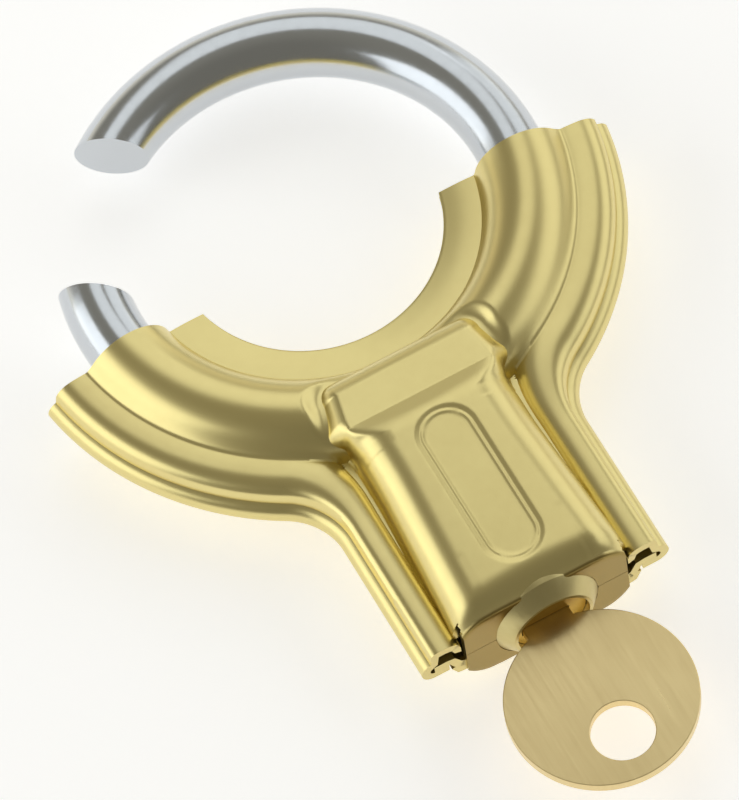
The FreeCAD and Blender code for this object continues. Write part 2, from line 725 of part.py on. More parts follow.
half_slope = tangent(cam_slope) / root(as_size(2))
cam_lead = (
    cam_radius * half_slope
    + follower_radius * root(half_slope * half_slope + 1)
    + cam_gap
)
cam_middle = follower_y + cam_lead
cam_front = nose_y - cam_clear + running_gap
cam_reach = cam_radius * tangent(cam_slope)
head_blank = rod("cam_head_blank", "y", cam_radius, cam_middle - cam_reach, cam_front)
slope_block = box(
    "slope_block",
    (-cam_reach * 2, -cam_reach * 3, -cam_reach * 2),
    (cam_reach * 2, as_size(0), cam_reach * 2),
)
slope_tool = group("slope_tool", [slope_block], (0, cam_middle, 0), Rotation(Vector(-1, 0, 1), 1))
slope_tool.setExpression("Placement.Rotation.Angle", cam_slope.text)
cam_solids = [
    cut("cam_head", head_blank, [slope_tool]),
    rod("cam_core", "y", cam_core_radius, tail_end, cam_front),
    box(
        "cam_tang",
        (-tang_half_width, tail_end - tang_length + fit_gap, -tang_half_height),
        (tang_half_width, tail_end, tang_half_height),
    ),
]
cam_hole = rod("cam_hole", "z", cam_pin_radius, -tail_radius, tail_radius, (0, tail_end - cam_pin_inset))
keep(cut("cam", join("cam_blank", cam_solids), [cam_hole]))
pin_half = tail_radius - fit_gap * 4
keep(rod("cam_pin", "z", cam_pin_radius, -pin_half, pin_half, (0, tail_end - cam_pin_inset)))

# the pin stacks: heights fall towards the tip of the key, so that it can be drawn
cuts_left = [cut_one - cut_step * row for row in range(PIN_COUNT)]
for row, (y, left) in enumerate(zip(pin_rows, cuts_left), start=1):
    foot = left + key_gap
    shank = rod(f"pin_shank_{row}", "x", pin_radius, foot + pin_tip, pin_top, (y, 0))
    tip = cone(f"pin_tip_{row}", "x", pin_radius / 2, pin_radius, foot, foot + pin_tip, (y, 0))
    keep(join(f"key_pin_{row}", [shank, tip]))
    driver_top = driver_bottom + driver_length
    keep(rod(f"driver_pin_{row}", "x", pin_radius, driver_bottom, driver_top, (y, 0)))
    length = chamber_top - driver_top - fit_gap * 2
    spring = coil(pin_spring_radius, pin_spring_wire, pin_spring_turns, length)
    seat = Placement(point(driver_top + fit_gap, y, 0), TURNS["x"])
    keep(shaped(f"pin_spring_{row}", spring, seat))

# the bolt, its follower and its springs
bolt_solids = [
    box(
        "bolt_nose",
        (-bolt_half_width, nose_y - nose_length, -nose_half_height),
        (bolt_half_width, nose_y, nose_half_height),
    ),
    box(
        "bolt_body",
        (-bolt_half_width, bolt_rear, -bolt_half_height),
        (bolt_half_width, nose_y - nose_length, bolt_half_height),
    ),
]
bolt_cuts = [
    rod("bolt_bore", "y", cam_radius + running_gap, bolt_rear - beyond, nose_y + beyond),
    rod("bolt_recess", "y", clip_radius + cam_gap, bolt_rear - beyond, bolt_rear + bolt_counterbore),
    rod("follower_hole", "z", follower_radius, 0, bolt_half_height + beyond, (0, follower_y)),
]
for side, name in ((-1, "left"), (1, "right")):
    bolt_cuts.append(
        rod(
            f"spring_pocket_{name}", "y", spring_radius + running_gap / 2,
            bolt_rear - beyond, bolt_rear + pocket_depth, (spring_aside * side, 0),
        )
    )
    length = bolt_room + pocket_depth - fit_gap * 2
    spring = coil(spring_radius, spring_wire, spring_turns, length)
    seat = Placement(point(spring_aside * side, housing_end + fit_gap, 0), TURNS["y"])
    keep(shaped(f"bolt_spring_{name}", spring, seat))
keep(cut("latch_bolt", join("bolt_blank", bolt_solids), bolt_cuts))
keep(
    rod(
        "follower_pin", "z", follower_radius,
        cam_core_radius + cam_gap, bolt_half_height - fit_gap, (0, follower_y),
    )
)

# the key: a round bow with a hole and a short cut blade
key = doc.addObject("PartDesign::Body", "key")
blade_tip = bore_end - blade_tip_gap
outline = [(-blade_back, bow_y), (blade_top, bow_y)]
outline.append((blade_top, pin_rows[0] - cut_flat - cut_lead))
for y, left in zip(pin_rows, cuts_left):
    outline += [(left, y - cut_flat), (left, y + cut_flat)]
outline += [(-blade_tip_drop, blade_tip), (-blade_back + cut_step, blade_tip)]
outline.append((-blade_back, blade_tip - cut_step * 2))
outline_pad(key, "blade", outline, key_height)
pad(key, "bow", disc_sketch(key, "bow", bow_radius, bow_y), key_height)
hole = key.newObject("PartDesign::Pocket", "key_hole")
hole.Profile = disc_sketch(key, "key_hole", key_hole_radius, bow_y - key_hole_offset)
hole.Midplane = True
hole.setExpression("Length", (key_height * 2).text)
key.Tip = hole
keep(key)

doc.recompute()
for item in doc.Objects:
    if "Invalid" in item.State or "Error" in item.State:
        raise RuntimeError(f"{item.Name} did not build: {item.State}")
for name in NODES:
    shape = doc.getObject(name).Shape
    if shape.isNull() or not shape.isValid() or not shape.Solids:
        raise RuntimeError(f"{name} has no sound solid")
    if len(shape.Solids) != (2 if name == "case_screws" else 1):
        raise RuntimeError(f"{name} fell into {len(shape.Solids)} solids")
os.makedirs("parts", exist_ok=True)
for name in NODES:
    doc.getObject(name).Shape.exportStep(f"parts/{name}.step")
print(f"wrote {len(NODES)} parts")
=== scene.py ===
"""Dresses the brass padlock: pressed shells, finishes, studio and camera."""
import json
import math

import bmesh
import bpy
from bpy.props import FloatProperty, FloatVectorProperty, PointerProperty
from bpy.types import Operator, Panel, PropertyGroup
from mathutils import Matrix, Vector

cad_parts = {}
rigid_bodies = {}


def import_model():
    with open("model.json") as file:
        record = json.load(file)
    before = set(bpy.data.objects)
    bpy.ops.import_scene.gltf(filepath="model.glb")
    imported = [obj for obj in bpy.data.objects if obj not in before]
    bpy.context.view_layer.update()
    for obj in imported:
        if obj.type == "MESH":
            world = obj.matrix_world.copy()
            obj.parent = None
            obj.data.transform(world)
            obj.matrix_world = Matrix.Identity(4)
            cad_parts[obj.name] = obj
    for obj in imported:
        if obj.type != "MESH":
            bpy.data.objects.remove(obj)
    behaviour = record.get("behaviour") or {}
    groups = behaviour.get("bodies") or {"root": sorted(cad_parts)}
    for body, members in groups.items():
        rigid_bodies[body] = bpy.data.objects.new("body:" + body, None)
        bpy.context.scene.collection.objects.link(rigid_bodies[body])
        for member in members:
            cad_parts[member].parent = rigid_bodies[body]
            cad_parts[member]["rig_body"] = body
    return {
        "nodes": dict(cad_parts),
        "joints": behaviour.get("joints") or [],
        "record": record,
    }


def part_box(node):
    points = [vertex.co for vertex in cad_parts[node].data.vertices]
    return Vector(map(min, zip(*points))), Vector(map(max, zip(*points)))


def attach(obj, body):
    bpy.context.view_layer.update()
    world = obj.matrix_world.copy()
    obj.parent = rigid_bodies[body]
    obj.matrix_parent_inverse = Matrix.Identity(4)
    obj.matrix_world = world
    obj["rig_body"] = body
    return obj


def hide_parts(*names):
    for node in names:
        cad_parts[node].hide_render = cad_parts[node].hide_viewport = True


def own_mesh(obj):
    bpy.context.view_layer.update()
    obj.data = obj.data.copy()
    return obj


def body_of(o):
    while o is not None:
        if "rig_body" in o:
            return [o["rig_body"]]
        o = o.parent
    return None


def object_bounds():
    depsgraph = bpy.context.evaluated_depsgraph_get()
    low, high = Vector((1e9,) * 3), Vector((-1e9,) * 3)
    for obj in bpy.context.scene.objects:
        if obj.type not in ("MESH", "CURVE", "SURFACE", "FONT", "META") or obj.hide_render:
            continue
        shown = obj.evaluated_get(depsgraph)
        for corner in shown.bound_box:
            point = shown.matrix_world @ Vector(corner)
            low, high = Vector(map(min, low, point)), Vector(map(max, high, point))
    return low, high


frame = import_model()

CAD_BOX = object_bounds()

bl_info = {
    "name": "Brass Padlock",
    "version": (1, 0, 0),
    "blender": (4, 5, 0),
    "location": "3D View > Sidebar > Padlock",
    "description": "Builds the pressed shells of a brass padlock and dresses its pieces",
    "category": "Object",
}


def length(name, default, description):
    return FloatProperty(
        name=name, default=default, description=description,
        unit="LENGTH", subtype="DISTANCE", precision=5, min=0.0,
    )


def tint(name, default, description):
    return FloatVectorProperty(
        name=name, default=default, description=description,
        subtype="COLOR", size=3, min=0.0, max=1.0,
    )


def factor(name, default, description, least=0.0, most=1.0):
    return FloatProperty(
        name=name, default=default, description=description,
        subtype="FACTOR", min=least, max=most,
    )


class PADLOCK_PG_shells(PropertyGroup):
    """Sizes of the two pressed shells."""

    sheet: length("Sheet", 0.0012, "Thickness of the brass sheet")
    inner_radius: length("Inner radius", 0.0175, "Ring's centre to the inside of the arms")
    outer_radius: length("Outer radius", 0.041, "Ring's centre to the edge of the arms")
    flange_height: length("Flange height", 0.0015, "Flange at the inside of the arms")
    flange_edge: length("Flange edge", 0.0003, "Small round where the two shells meet")
    tunnel_middle: length("Tunnel middle", 0.02875, "Ring's centre to the crown of the tunnel")
    tunnel_radius: length("Tunnel radius", 0.0062, "Outside of the tunnel over the rod")
    tunnel_lift: length("Tunnel lift", 0.0008, "Straight wall under its round")
    web_height: length("Web height", 0.0019, "Flat floor of the creases")
    arm_ridge: length("Arm ridge", 0.0044, "Outer edge to the ridge on the arms")
    arm_ridge_radius: length("Arm ridge radius", 0.0032, "Round of the ridge on the arms")
    arm_ridge_lift: length("Arm ridge lift", 0.0006, "Height of its centre")
    flank_ridge: length("Flank ridge", 0.003, "Outer edge to the ridge on the flanks")
    flank_ridge_radius: length("Flank ridge radius", 0.0017, "Round of the ridge on the flanks")
    flank_ridge_lift: length("Flank ridge lift", 0.0017, "Height of its centre")
    rear_ridge: length("Rear ridge", 0.0064, "Outer edge to the rear ridge")
    rear_ridge_radius: length("Rear ridge radius", 0.0024, "Round of the rear ridge")
    rear_ridge_lift: length("Rear ridge lift", 0.0008, "Height of its centre")
    fold_radius: length("Fold radius", 0.0018, "Outside of the hem")
    hem_return: length("Hem return", 0.002, "Sheet folded back under the rear flange")
    crease: length("Crease", 0.001, "Softness of the creases")
    valley: length("Valley", 0.0016, "Softness between tunnel and ridge")
    lip_crease: length("Lip crease", 0.0015, "Softness beside the hem")
    terrace: factor("Terrace", 0.66, "How slowly the ridge falls towards the box", least=0.1)
    neck_radius: length("Neck radius", 0.009, "Concave corner between arm and flank")
    flank_half_width: length("Flank half width", 0.0176, "Middle line to the straight edge")
    box_half_width: length("Box half width", 0.0099, "Half width where the box rises")
    shoulder: length("Shoulder", 0.00045, "Extra half width under the facet")
    box_end_half_width: length("Box end half width", 0.0123, "Half width at the end wall")
    box_height: length("Box height", 0.0087, "Flat panel above the seam")
    box_corner: length("Box corner", 0.005, "Rounding along the edges of the panel")
    box_start: length("Box start", 0.0236, "Ring's centre to the box")
    facet_start: length("Facet start", 0.0265, "Ring's centre to the facet")
    facet_end: length("Facet end", 0.0316, "Ring's centre to the crease")
    facet_height: length("Facet height", 0.0073, "Upper edge of the facet")
    crease_height: length("Crease height", 0.0075, "Lower edge of the facet")
    facet_half_width: length("Facet half width", 0.0092, "Half of the facet's upper edge")
    crease_half_width: length("Crease half width", 0.0103, "Half of the facet's lower edge")
    ramp_end: length("Ramp end", 0.0348, "Ring's centre to the flat of the panel")
    groove_height: length("Groove height", 0.0060, "Floor of the groove round the box")
    groove_width: length("Groove width", 0.0024, "Facet to the rise of the groove")
    wall: length("Wall", 0.0631, "Ring's centre to the end wall")
    tab_half_width: length("Tab half width", 0.0115, "Folded end wall, half width")
    mouth_radius: length("Mouth radius", 0.0073, "Edge of the end wall inside the collar")
    arm_end_drop: length("Arm end drop", 0.0024, "Arm ends at the middle line")
    field_length: length("Field length", 0.0238, "Obround field on the panel")
    field_width: length("Field width", 0.0074, "Width of the obround field")
    field_depth: length("Field depth", 0.00022, "Depth of the obround field")
    field_line: length("Field line", 0.00009, "Depth of the line round the field")
    field_distance: length("Field distance", 0.0158, "End wall to the middle of the field")
    end_overhang: length("End overhang", 0.0011, "Round of the end edge past the end wall")
    arm_end_tilt: FloatProperty(
        name="Arm end tilt", default=math.radians(4.9), unit="ROTATION", subtype="ANGLE",
        description="How far the arm ends fall away outwards",
    )


class PADLOCK_PG_finishes(PropertyGroup):
    """Colours of the metals."""

    shell: tint("Shell brass", (0.83, 0.71, 0.315), "Satin brass of the shells")
    stain: tint("Stain", (0.45, 0.26, 0.05), "Darker brass left in the creases")
    collar: tint("Collar brass", (0.66, 0.57, 0.27), "Turned brass of the collar")
    plug: tint("Plug brass", (0.52, 0.34, 0.06), "Older brass of the plug")
    key: tint("Key brass", (0.87, 0.70, 0.36), "Brushed brass of the key")
    steel: tint("Ring steel", (0.62, 0.65, 0.685), "Polished steel of the ring")
    zinc: tint("Case metal", (0.42, 0.42, 0.41), "Cast metal of the inner case")
    spring: tint("Spring steel", (0.52, 0.53, 0.55), "Bright spring wire")
    # painted shade: darker brass for the end wall, standing in for the dark that it reflects
    end_wall_shade: tint("End wall", (0.36, 0.265, 0.085), "Unpolished brass of the end wall")
    worn_ring: tint("Worn ring", (0.45, 0.45, 0.46), "Clouds in the steel of the ring")
    worn_steel: tint("Worn steel", (0.3, 0.3, 0.3), "Clouds in the steel inside")


class PADLOCK_PG_studio(PropertyGroup):
    """Light and ground of the studio."""

    floor: tint("Floor", (0.9, 0.9, 0.9), "Plain pale floor")
    glow: factor("Floor white", 0.52, "White that the floor adds where it is seen")
    left_light: factor("Left light", 1.3, "Soft light at the left", most=10.0)
    back_light: factor("Back light", 0.78, "Soft light behind the ring", most=10.0)
    right_light: factor("Right light", 0.8, "Soft light at the right", most=10.0)
    lamp_tint: tint("Lamp tint", (0.93, 0.97, 1.0), "Colour of the three soft lights")
    room_tint: tint("Room tint", (1.0, 0.94, 0.78), "Colour of the room around the lock")
    room: factor("Room", 0.26, "Brightness of the room around the lock")
    behind: factor("Behind", 0.6, "Extra light behind the ring")


# shader maths

class Socket:
    """An output of a shader node that can be used in sums and products."""

    def __init__(self, tree, output):
        self.tree = tree
        self.output = output

    def maths(self, operation, *values):
        return self.tree.node("ShaderNodeMath", dict(enumerate(values)), {"operation": operation})

    def __add__(self, other):
        return self.maths("ADD", self, other)

    def __sub__(self, other):
        return self.maths("SUBTRACT", self, other)

    def __rsub__(self, other):
        return self.maths("SUBTRACT", other, self)

    def __mul__(self, other):
        return self.maths("MULTIPLY", self, other)

    __radd__ = __add__
    __rmul__ = __mul__

    def clamped(self):
        return self.maths("MAXIMUM", self.maths("MINIMUM", self, 1.0), 0.0)

    def between(self, low, high):
        """0 below low, 1 above high and smooth in between."""
        settings = {"interpolation_type": "SMOOTHSTEP"}
        return self.tree.node("ShaderNodeMapRange", {0: self, 1: low, 2: high}, settings)

    def axes(self):
        split = self.tree.raw("ShaderNodeSeparateXYZ", {0: self})
        return [Socket(self.tree, output) for output in split.outputs]


class Finish:
    """A node tree under construction."""

    def __init__(self, owner):
        owner.use_nodes = True
        self.tree = owner.node_tree
        self.tree.nodes.clear()

    def raw(self, kind, values=None, settings=None):
        made = self.tree.nodes.new(kind)
        for name, setting in (settings or {}).items():
            setattr(made, name, setting)
        for key, value in (values or {}).items():
            socket = made.inputs[key]
            if isinstance(value, Socket):
                self.tree.links.new(value.output, socket)
            elif socket.type == "RGBA" and len(value) == 3:
                socket.default_value = (*value, 1.0)
            else:
                socket.default_value = value
        return made

    def node(self, kind, values=None, settings=None, output=0):
        return Socket(self, self.raw(kind, values, settings).outputs[output])

    def place(self):
        return self.node("ShaderNodeTexCoord", output="Object")

    def stretched(self, scale, turn):
        return self.node("ShaderNodeMapping", {
            "Vector": self.place(), "Scale": scale, "Rotation": (0.0, 0.0, math.radians(turn)),
        })

    def noise(self, vector, scale, detail=3.0, roughness=0.5):
        values = {"Vector": vector, "Scale": scale, "Detail": detail, "Roughness": roughness}
        return self.node("ShaderNodeTexNoise", values)

    def blend(self, amount, first, second):
        values = {0: amount, 6: first, 7: second}
        return self.node("ShaderNodeMix", values, {"data_type": "RGBA"}, output=2)

    def bump(self, height, distance):
        return self.node("ShaderNodeBump", {"Height": height, "Distance": distance})

    def seen(self):
        """1 for what the camera sees, also in a mirror or through glass."""
        rays = self.raw("ShaderNodeLightPath")
        names = ("Is Camera Ray", "Is Glossy Ray", "Is Transmission Ray")
        first, second, third = (Socket(self, rays.outputs[name]) for name in names)
        return (first + second + third).clamped()

    def finish(self, shader, owner="Material"):
        self.raw(f"ShaderNodeOutput{owner}", {"Surface": shader})


def new_object(name, data):
    made = bpy.data.objects.new(name, data)
    bpy.context.scene.collection.objects.link(made)
    return made


def new_finish(name):
    material = bpy.data.materials.new(name)
    return material, Finish(material)


SHADE_MARGIN = 0.0003  # the painted shade on the end wall starts this far past its face
# over this length the painted shade fades in
SHADE_FADE = 0.0004

# slot: tint, tint of its clouds, roughness, polishing lines per metre, what differs
METALS = {
    "shell_brass": ("shell", "stain", 0.31, (700.0,) * 3,
                    {"mottle": 0.05, "depth": 0.0000004, "uneven": 0.04, "shaded_end_wall": True}),
    "collar_brass": ("collar", "stain", 0.34, (1500.0, 300.0, 1500.0), {}),
    "plug_brass": ("plug", "stain", 0.36, (1200.0,) * 3, {}),
    "key_brass": ("key", "stain", 0.32, (2600.0, 130.0, 600.0),
                  {"turn": -52, "depth": 0.0000015}),
    "pin_brass": ("key", "stain", 0.28, (1500.0,) * 3, {}),
    "shackle_steel": ("steel", "worn_ring", 0.20, (700.0,) * 3,
                      {"mottle": 0.06, "depth": 0.000002}),
    "plain_steel": ("spring", "worn_steel", 0.30, (1500.0,) * 3, {}),
    "spring_steel": ("spring", "worn_steel", 0.25, (1500.0,) * 3, {}),
}


def brushed_metal(name, colour, worn, roughness, grain, turn=0.0, mottle=0.10,
                  depth=0.000004, uneven=0.14, shaded_end_wall=False):
    """Metal with fine polishing lines, cloudy colour, a little uneven gloss and, where asked,
    painted shade on the end wall.
    """
    material, tree = new_finish(name)
    tints = bpy.context.scene.padlock_finishes
    lines = tree.noise(tree.stretched(grain, turn), 1.0, 4.0, 0.6)
    clouds = tree.noise(tree.place(), 60.0, 3.0, 0.55)
    stains = clouds.between(0.35, 0.75) * mottle + lines.between(0.3, 0.8) * mottle * 0.5
    gloss = (clouds - 0.5) * (uneven * 0.7) + (lines - 0.5) * uneven + roughness
    shade = tree.blend(stains.clamped(), getattr(tints, colour), getattr(tints, worn))
    if shaded_end_wall:
        # painted shade: the end wall gets a darker brass that stands in for the dark it reflects
        _x, y, _z = tree.place().axes()
        end = -bpy.context.scene.padlock_shells.wall - SHADE_MARGIN
        shade = tree.blend(1 - y.between(end, end + SHADE_FADE), shade, tints.end_wall_shade)
    values = {
        "Base Color": shade,
        "Metallic": 1.0,
        "Roughness": gloss.clamped(),
        "Normal": tree.bump(lines, depth),
    }
    tree.finish(tree.node("ShaderNodeBsdfPrincipled", values))
    return material


def cast_metal(name, colour):
    """Dull cast metal with a fine grain."""
    material, tree = new_finish(name)
    grain = tree.noise(tree.place(), 2200.0, 3.0, 0.6)
    clouds = tree.noise(tree.place(), 180.0, 2.0, 0.5)
    darker = tuple(channel * 0.7 for channel in colour)
    values = {
        "Base Color": tree.blend(clouds.between(0.3, 0.7), colour, darker),
        "Metallic": 0.9,
        "Roughness": (grain * 0.2 + 0.42).clamped(),
        "Normal": tree.bump(grain, 0.00003),
    }
    tree.finish(tree.node("ShaderNodeBsdfPrincipled", values))
    return material


# heights of the pressed sheet, in the plan of the lock

def soft_max(first, second, blend):
    overlap = max(blend - abs(first - second), 0.0) / blend
    return max(first, second) + overlap * overlap * blend / 4


def soft_min(first, second, blend):
    return -soft_max(-first, -second, blend)


def dome(offset, radius, base=0.0, power=2.0):
    """Height of a round ridge, which is fuller where the power is higher."""
    inside = 1 - (abs(offset) / radius) ** power
    return base + radius * inside ** (1 / power) if inside > 0 else 0.0


def mix(first, second, share):
    return first + (second - first) * share


def ease(value):
    value = min(max(value, 0.0), 1.0)
    return value * value * (3 - 2 * value)


def spaced(start, end, count):
    """Even steps from start to end, without the start."""
    return [mix(start, end, step / count) for step in range(1, count + 1)]


def arc(radius, first_tilt, last_tilt, count):
    """A round that falls away from level: (distance, drop) from its first point."""
    first = math.radians(first_tilt)
    points = []
    for tilt in [first, *spaced(first, math.radians(last_tilt), count)]:
        points.append((radius * (math.sin(tilt) - math.sin(first)),
                       radius * (math.cos(first) - math.cos(tilt))))
    return points


def resampled(points, count):
    """The same line with its points at even distances."""
    places = [0.0]
    for (x, z), (next_x, next_z) in zip(points, points[1:]):
        places.append(places[-1] + math.hypot(next_x - x, next_z - z))
    line = []
    index = 0
    for step in range(count + 1):
        at = places[-1] * step / count
        while index < len(points) - 2 and places[index + 1] < at:
            index += 1
        span = places[index + 1] - places[index]
        share = min(max((at - places[index]) / span, 0.0), 1.0) if span else 0.0
        line.append(tuple(mix(a, b, share) for a, b in zip(points[index], points[index + 1])))
    return line


def bell(offset, width):
    """A smooth hump that is 1 in its middle."""
    return math.exp(-(offset / width) ** 2)


# small forms of the press tool: metres, and degrees where they are turns
SEAM = 0.00005  # foot of the tunnel to the mesh of the rim
SHOULDER_RUN = 0.011  # length along which the shoulder dies away
FLANGE_RUN = 0.0022  # how soon the flange gets to its height
RIDGE_POWER = 2.5  # a ridge is fuller than a half circle
GROOVE_START = 0.018  # the groove round the box lies beyond this
GROOVE_DEPTH = 0.002  # and bends the tunnel down to this under its floor
GROOVE_RISE = 500.0  # rise of its floor away from the box, per metre
GROOVE_BLEND = 0.0018
RAMP_BLEND = 0.0005  # softness between ramp and panel
END_BLEND = 0.0003  # softness between panel and end round
CROWN_SPAN, CROWN_FALL = 0.006, 0.00012  # slight crown of the panel
FIELD_STEP = 0.0005  # width of the step down into the field
FIELD_LINE = (0.00018, 0.00024)  # line outside that step: middle and width
FIELD_BEAD = (-0.00042, 0.00026)  # bead inside it
HEM_TURN = 165.6  # the sheet is folded back by this much


class Pressing:
    """Plan and heights of one shell. Distances are in metres, and the front has the hem."""

    def __init__(self, sizes, front):
        self.s = sizes
        self.front = front
        span = sizes.outer_radius + sizes.neck_radius
        self.neck_x = sizes.flank_half_width + sizes.neck_radius
        self.neck_y = -math.sqrt(span * span - self.neck_x ** 2)
        self.neck_turn = math.atan2(-self.neck_y, self.neck_x)
        self.split = sizes.tunnel_middle + sizes.tunnel_radius + SEAM

    def half_width(self, y):
        s = self.s
        share = (-y - s.box_start) / (s.wall - s.box_start)
        shoulder = s.shoulder * (1 - ease((-y - s.facet_end) / SHOULDER_RUN))
        return mix(s.box_half_width, s.box_end_half_width, share) + shoulder

    def rim_distance(self, x, y):
        """Distance from a point to the outer edge of the shell."""
        across = abs(x)
        if y < self.neck_y:
            return self.s.flank_half_width - across
        if math.atan2(-y, across) > self.neck_turn:
            return math.hypot(across - self.neck_x, y - self.neck_y) - self.s.neck_radius
        return self.s.outer_radius - math.hypot(x, y)

    def flank_share(self, x, y):
        """0 on the arms and 1 on the flanks."""
        across = abs(x)
        if y < self.neck_y:
            return 1.0
        if math.atan2(-y, across) < self.neck_turn:
            return 0.0
        turn = math.atan2(y - self.neck_y, self.neck_x - across)
        return ease(1 - turn / self.neck_turn)

    def ridge(self, share):
        """Distance from the edge, radius and lift of the ridge."""
        s = self.s
        if not self.front:
            return s.rear_ridge, s.rear_ridge_radius, s.rear_ridge_lift
        return (mix(s.arm_ridge, s.flank_ridge, share),
                mix(s.arm_ridge_radius, s.flank_ridge_radius, share),
                mix(s.arm_ridge_lift, s.flank_ridge_lift, share))

    def facet_distance(self, x, y):
        """Distance outside the facet, 0 on it."""
        s = self.s
        share = (-y - s.facet_start) / (s.facet_end - s.facet_start)
        wide = mix(s.facet_half_width, s.crease_half_width, min(max(share, 0.0), 1.0))
        return math.hypot(max(abs(x) - wide, 0.0), max(y + s.facet_start, 0.0))

    def sheet_height(self, x, y):
        """Outer face of tunnel, flange, web and ridges above the seam."""
        s = self.s
        radius = math.hypot(x, y)
        rim = self.rim_distance(x, y)
        inset, ridge_radius, ridge_lift = self.ridge(self.flank_share(x, y))
        if radius < s.tunnel_middle:
            past = radius - s.inner_radius
            edge = 1 - min(past / s.flange_edge, 1.0)
            level = s.flange_edge * math.sqrt(max(1 - edge * edge, 0.0))
            level += (s.flange_height - s.flange_edge) * (1 - math.exp(-past / FLANGE_RUN))
        else:
            level = s.web_height if rim > inset else 0.0
        tunnel = dome(radius - s.tunnel_middle, s.tunnel_radius, s.tunnel_lift)
        if tunnel > s.groove_height - GROOVE_DEPTH and y < -GROOVE_START:
            past = max(self.facet_distance(x, y) - s.groove_width, 0.0)
            floor = s.groove_height + GROOVE_RISE * past * past
            tunnel = soft_min(tunnel, floor, GROOVE_BLEND)
        level = soft_max(level, tunnel, s.crease)
        offset = rim - inset
        if offset > 0 and self.front:
            offset *= s.terrace
        crown = dome(offset, ridge_radius, ridge_lift, RIDGE_POWER)
        level = soft_max(level, crown, s.valley if self.front else s.crease)
        if self.front:
            lip = dome(rim - s.fold_radius, s.fold_radius, -s.sheet / 2)
            level = soft_max(level, lip, s.lip_crease)
        return level

    def field(self, x, y):
        """Depth of the obround field, with a fine line outside its edge and a bead inside."""
        s = self.s
        if not self.front:
            return 0.0
        half = (s.field_length - s.field_width) / 2
        reach = max(abs(y + s.wall - s.field_distance) - half, 0.0)
        past = math.hypot(x, reach) - s.field_width / 2
        sunk = (1 - ease(past / FIELD_STEP + 0.5)) * s.field_depth
        line, bead = (bell(past - middle, width) for middle, width in (FIELD_LINE, FIELD_BEAD))
        return sunk + s.field_line * (line - bead)

    def end_round(self, y):
        """Height of the round that leads from the panel to the end wall."""
        s = self.s
        past = -y - (s.wall + s.end_overhang - s.box_corner)
        return dome(past, s.box_corner, s.box_height - s.box_corner) if past > 0 else s.box_height

    def top(self, x, y):
        """Facet, ramp and panel along the middle of the box."""
        s = self.s
        if y > -s.facet_end:
            share = (-y - s.facet_start) / (s.facet_end - s.facet_start)
            return mix(s.facet_height, s.crease_height, share)
        share = (-y - s.facet_end) / (s.ramp_end - s.facet_end)
        panel = s.box_height - CROWN_FALL * (x / CROWN_SPAN) ** 2
        panel = soft_min(mix(s.crease_height, s.box_height, share), panel, RAMP_BLEND)
        return soft_min(panel, self.end_round(y), END_BLEND) - self.field(x, y)

    def rim_profile(self):
        """Across the rim from its hidden edge: (distance from the outer edge, height)."""
        s = self.s
        if self.front:
            middle = -s.sheet / 2
            low = middle - s.fold_radius
            points = [(s.fold_radius + s.hem_return * k / 4, low) for k in (4, 3, 2, 1)]
            for turn in [0.0, *spaced(0.0, math.radians(HEM_TURN), 14)]:
                points.append((s.fold_radius * (1 - math.sin(turn)),
                               middle - s.fold_radius * math.cos(turn)))
            return points
        leg = s.rear_ridge - s.rear_ridge_radius
        points = [(mix(s.fold_radius, leg, k / 5), s.sheet) for k in range(6)]
        for turn in spaced(math.radians(10), math.radians(80), 7):
            points.append((s.rear_ridge - s.rear_ridge_radius * math.cos(turn),
                           s.rear_ridge_lift + s.rear_ridge_radius * math.sin(turn)))
        return points


def patch(bm, columns, rows, place):
    """A grid of faces whose points are placed by their column and row."""
    made = bmesh.ops.create_grid(bm, x_segments=columns, y_segments=rows, size=0.5)
    for vert in made["verts"]:
        column = round((vert.co.x + 0.5) * columns)
        row = round((vert.co.y + 0.5) * rows)
        vert.co = place(column, row)


def banded(start, bands):
    """Steps from start, evenly through bands that are given as (end, count)."""
    steps = [start]
    for end, count in bands:
        steps += spaced(steps[-1], end, count)
    return steps


# the mesh of the sheet round the box: counts, and distances in metres
ARM_ROWS = 64
TUNNEL_ROWS = 56
FLANK_ROWS = 40
EDGE_COLUMNS = 7
FLANGE_BANDS = ((0.0216, 6), (0.0236, 12))
TUNNEL_COLUMNS = 36
RIDGE_COLUMNS = 20
WEB_COLUMNS = 5
BEND_STEP = 2.4  # degrees of the neck's bend to a row
BEND_SHARE = 1.6  # the inner ends of those rows are this much wider apart
BOX_LAP = 0.0004  # the rim runs on under the side of the box
RIDGE_MARGIN = 0.0004  # ridge columns past the foot of the ridge
LEAST_WEB = 0.0005


def on_circle(radius, angle):
    return radius * math.cos(angle), radius * math.sin(angle)


def add_tunnel(bm, form, side, angles):
    """Flange and tunnel, from the end of the arm to the middle line."""
    s = form.s
    edge = s.inner_radius + s.sheet
    quarter = [math.pi / 2 * k / EDGE_COLUMNS for k in range(EDGE_COLUMNS + 1)]
    bands = (*FLANGE_BANDS, (form.split, TUNNEL_COLUMNS))
    radii = [edge - s.sheet * math.cos(turn) for turn in quarter] + banded(edge, bands)[1:]

    def place(column, row):
        x, y = on_circle(radii[column], angles[row])
        return Vector((side * x, y, form.sheet_height(x, y)))

    patch(bm, len(radii) - 1, len(angles) - 1, place)


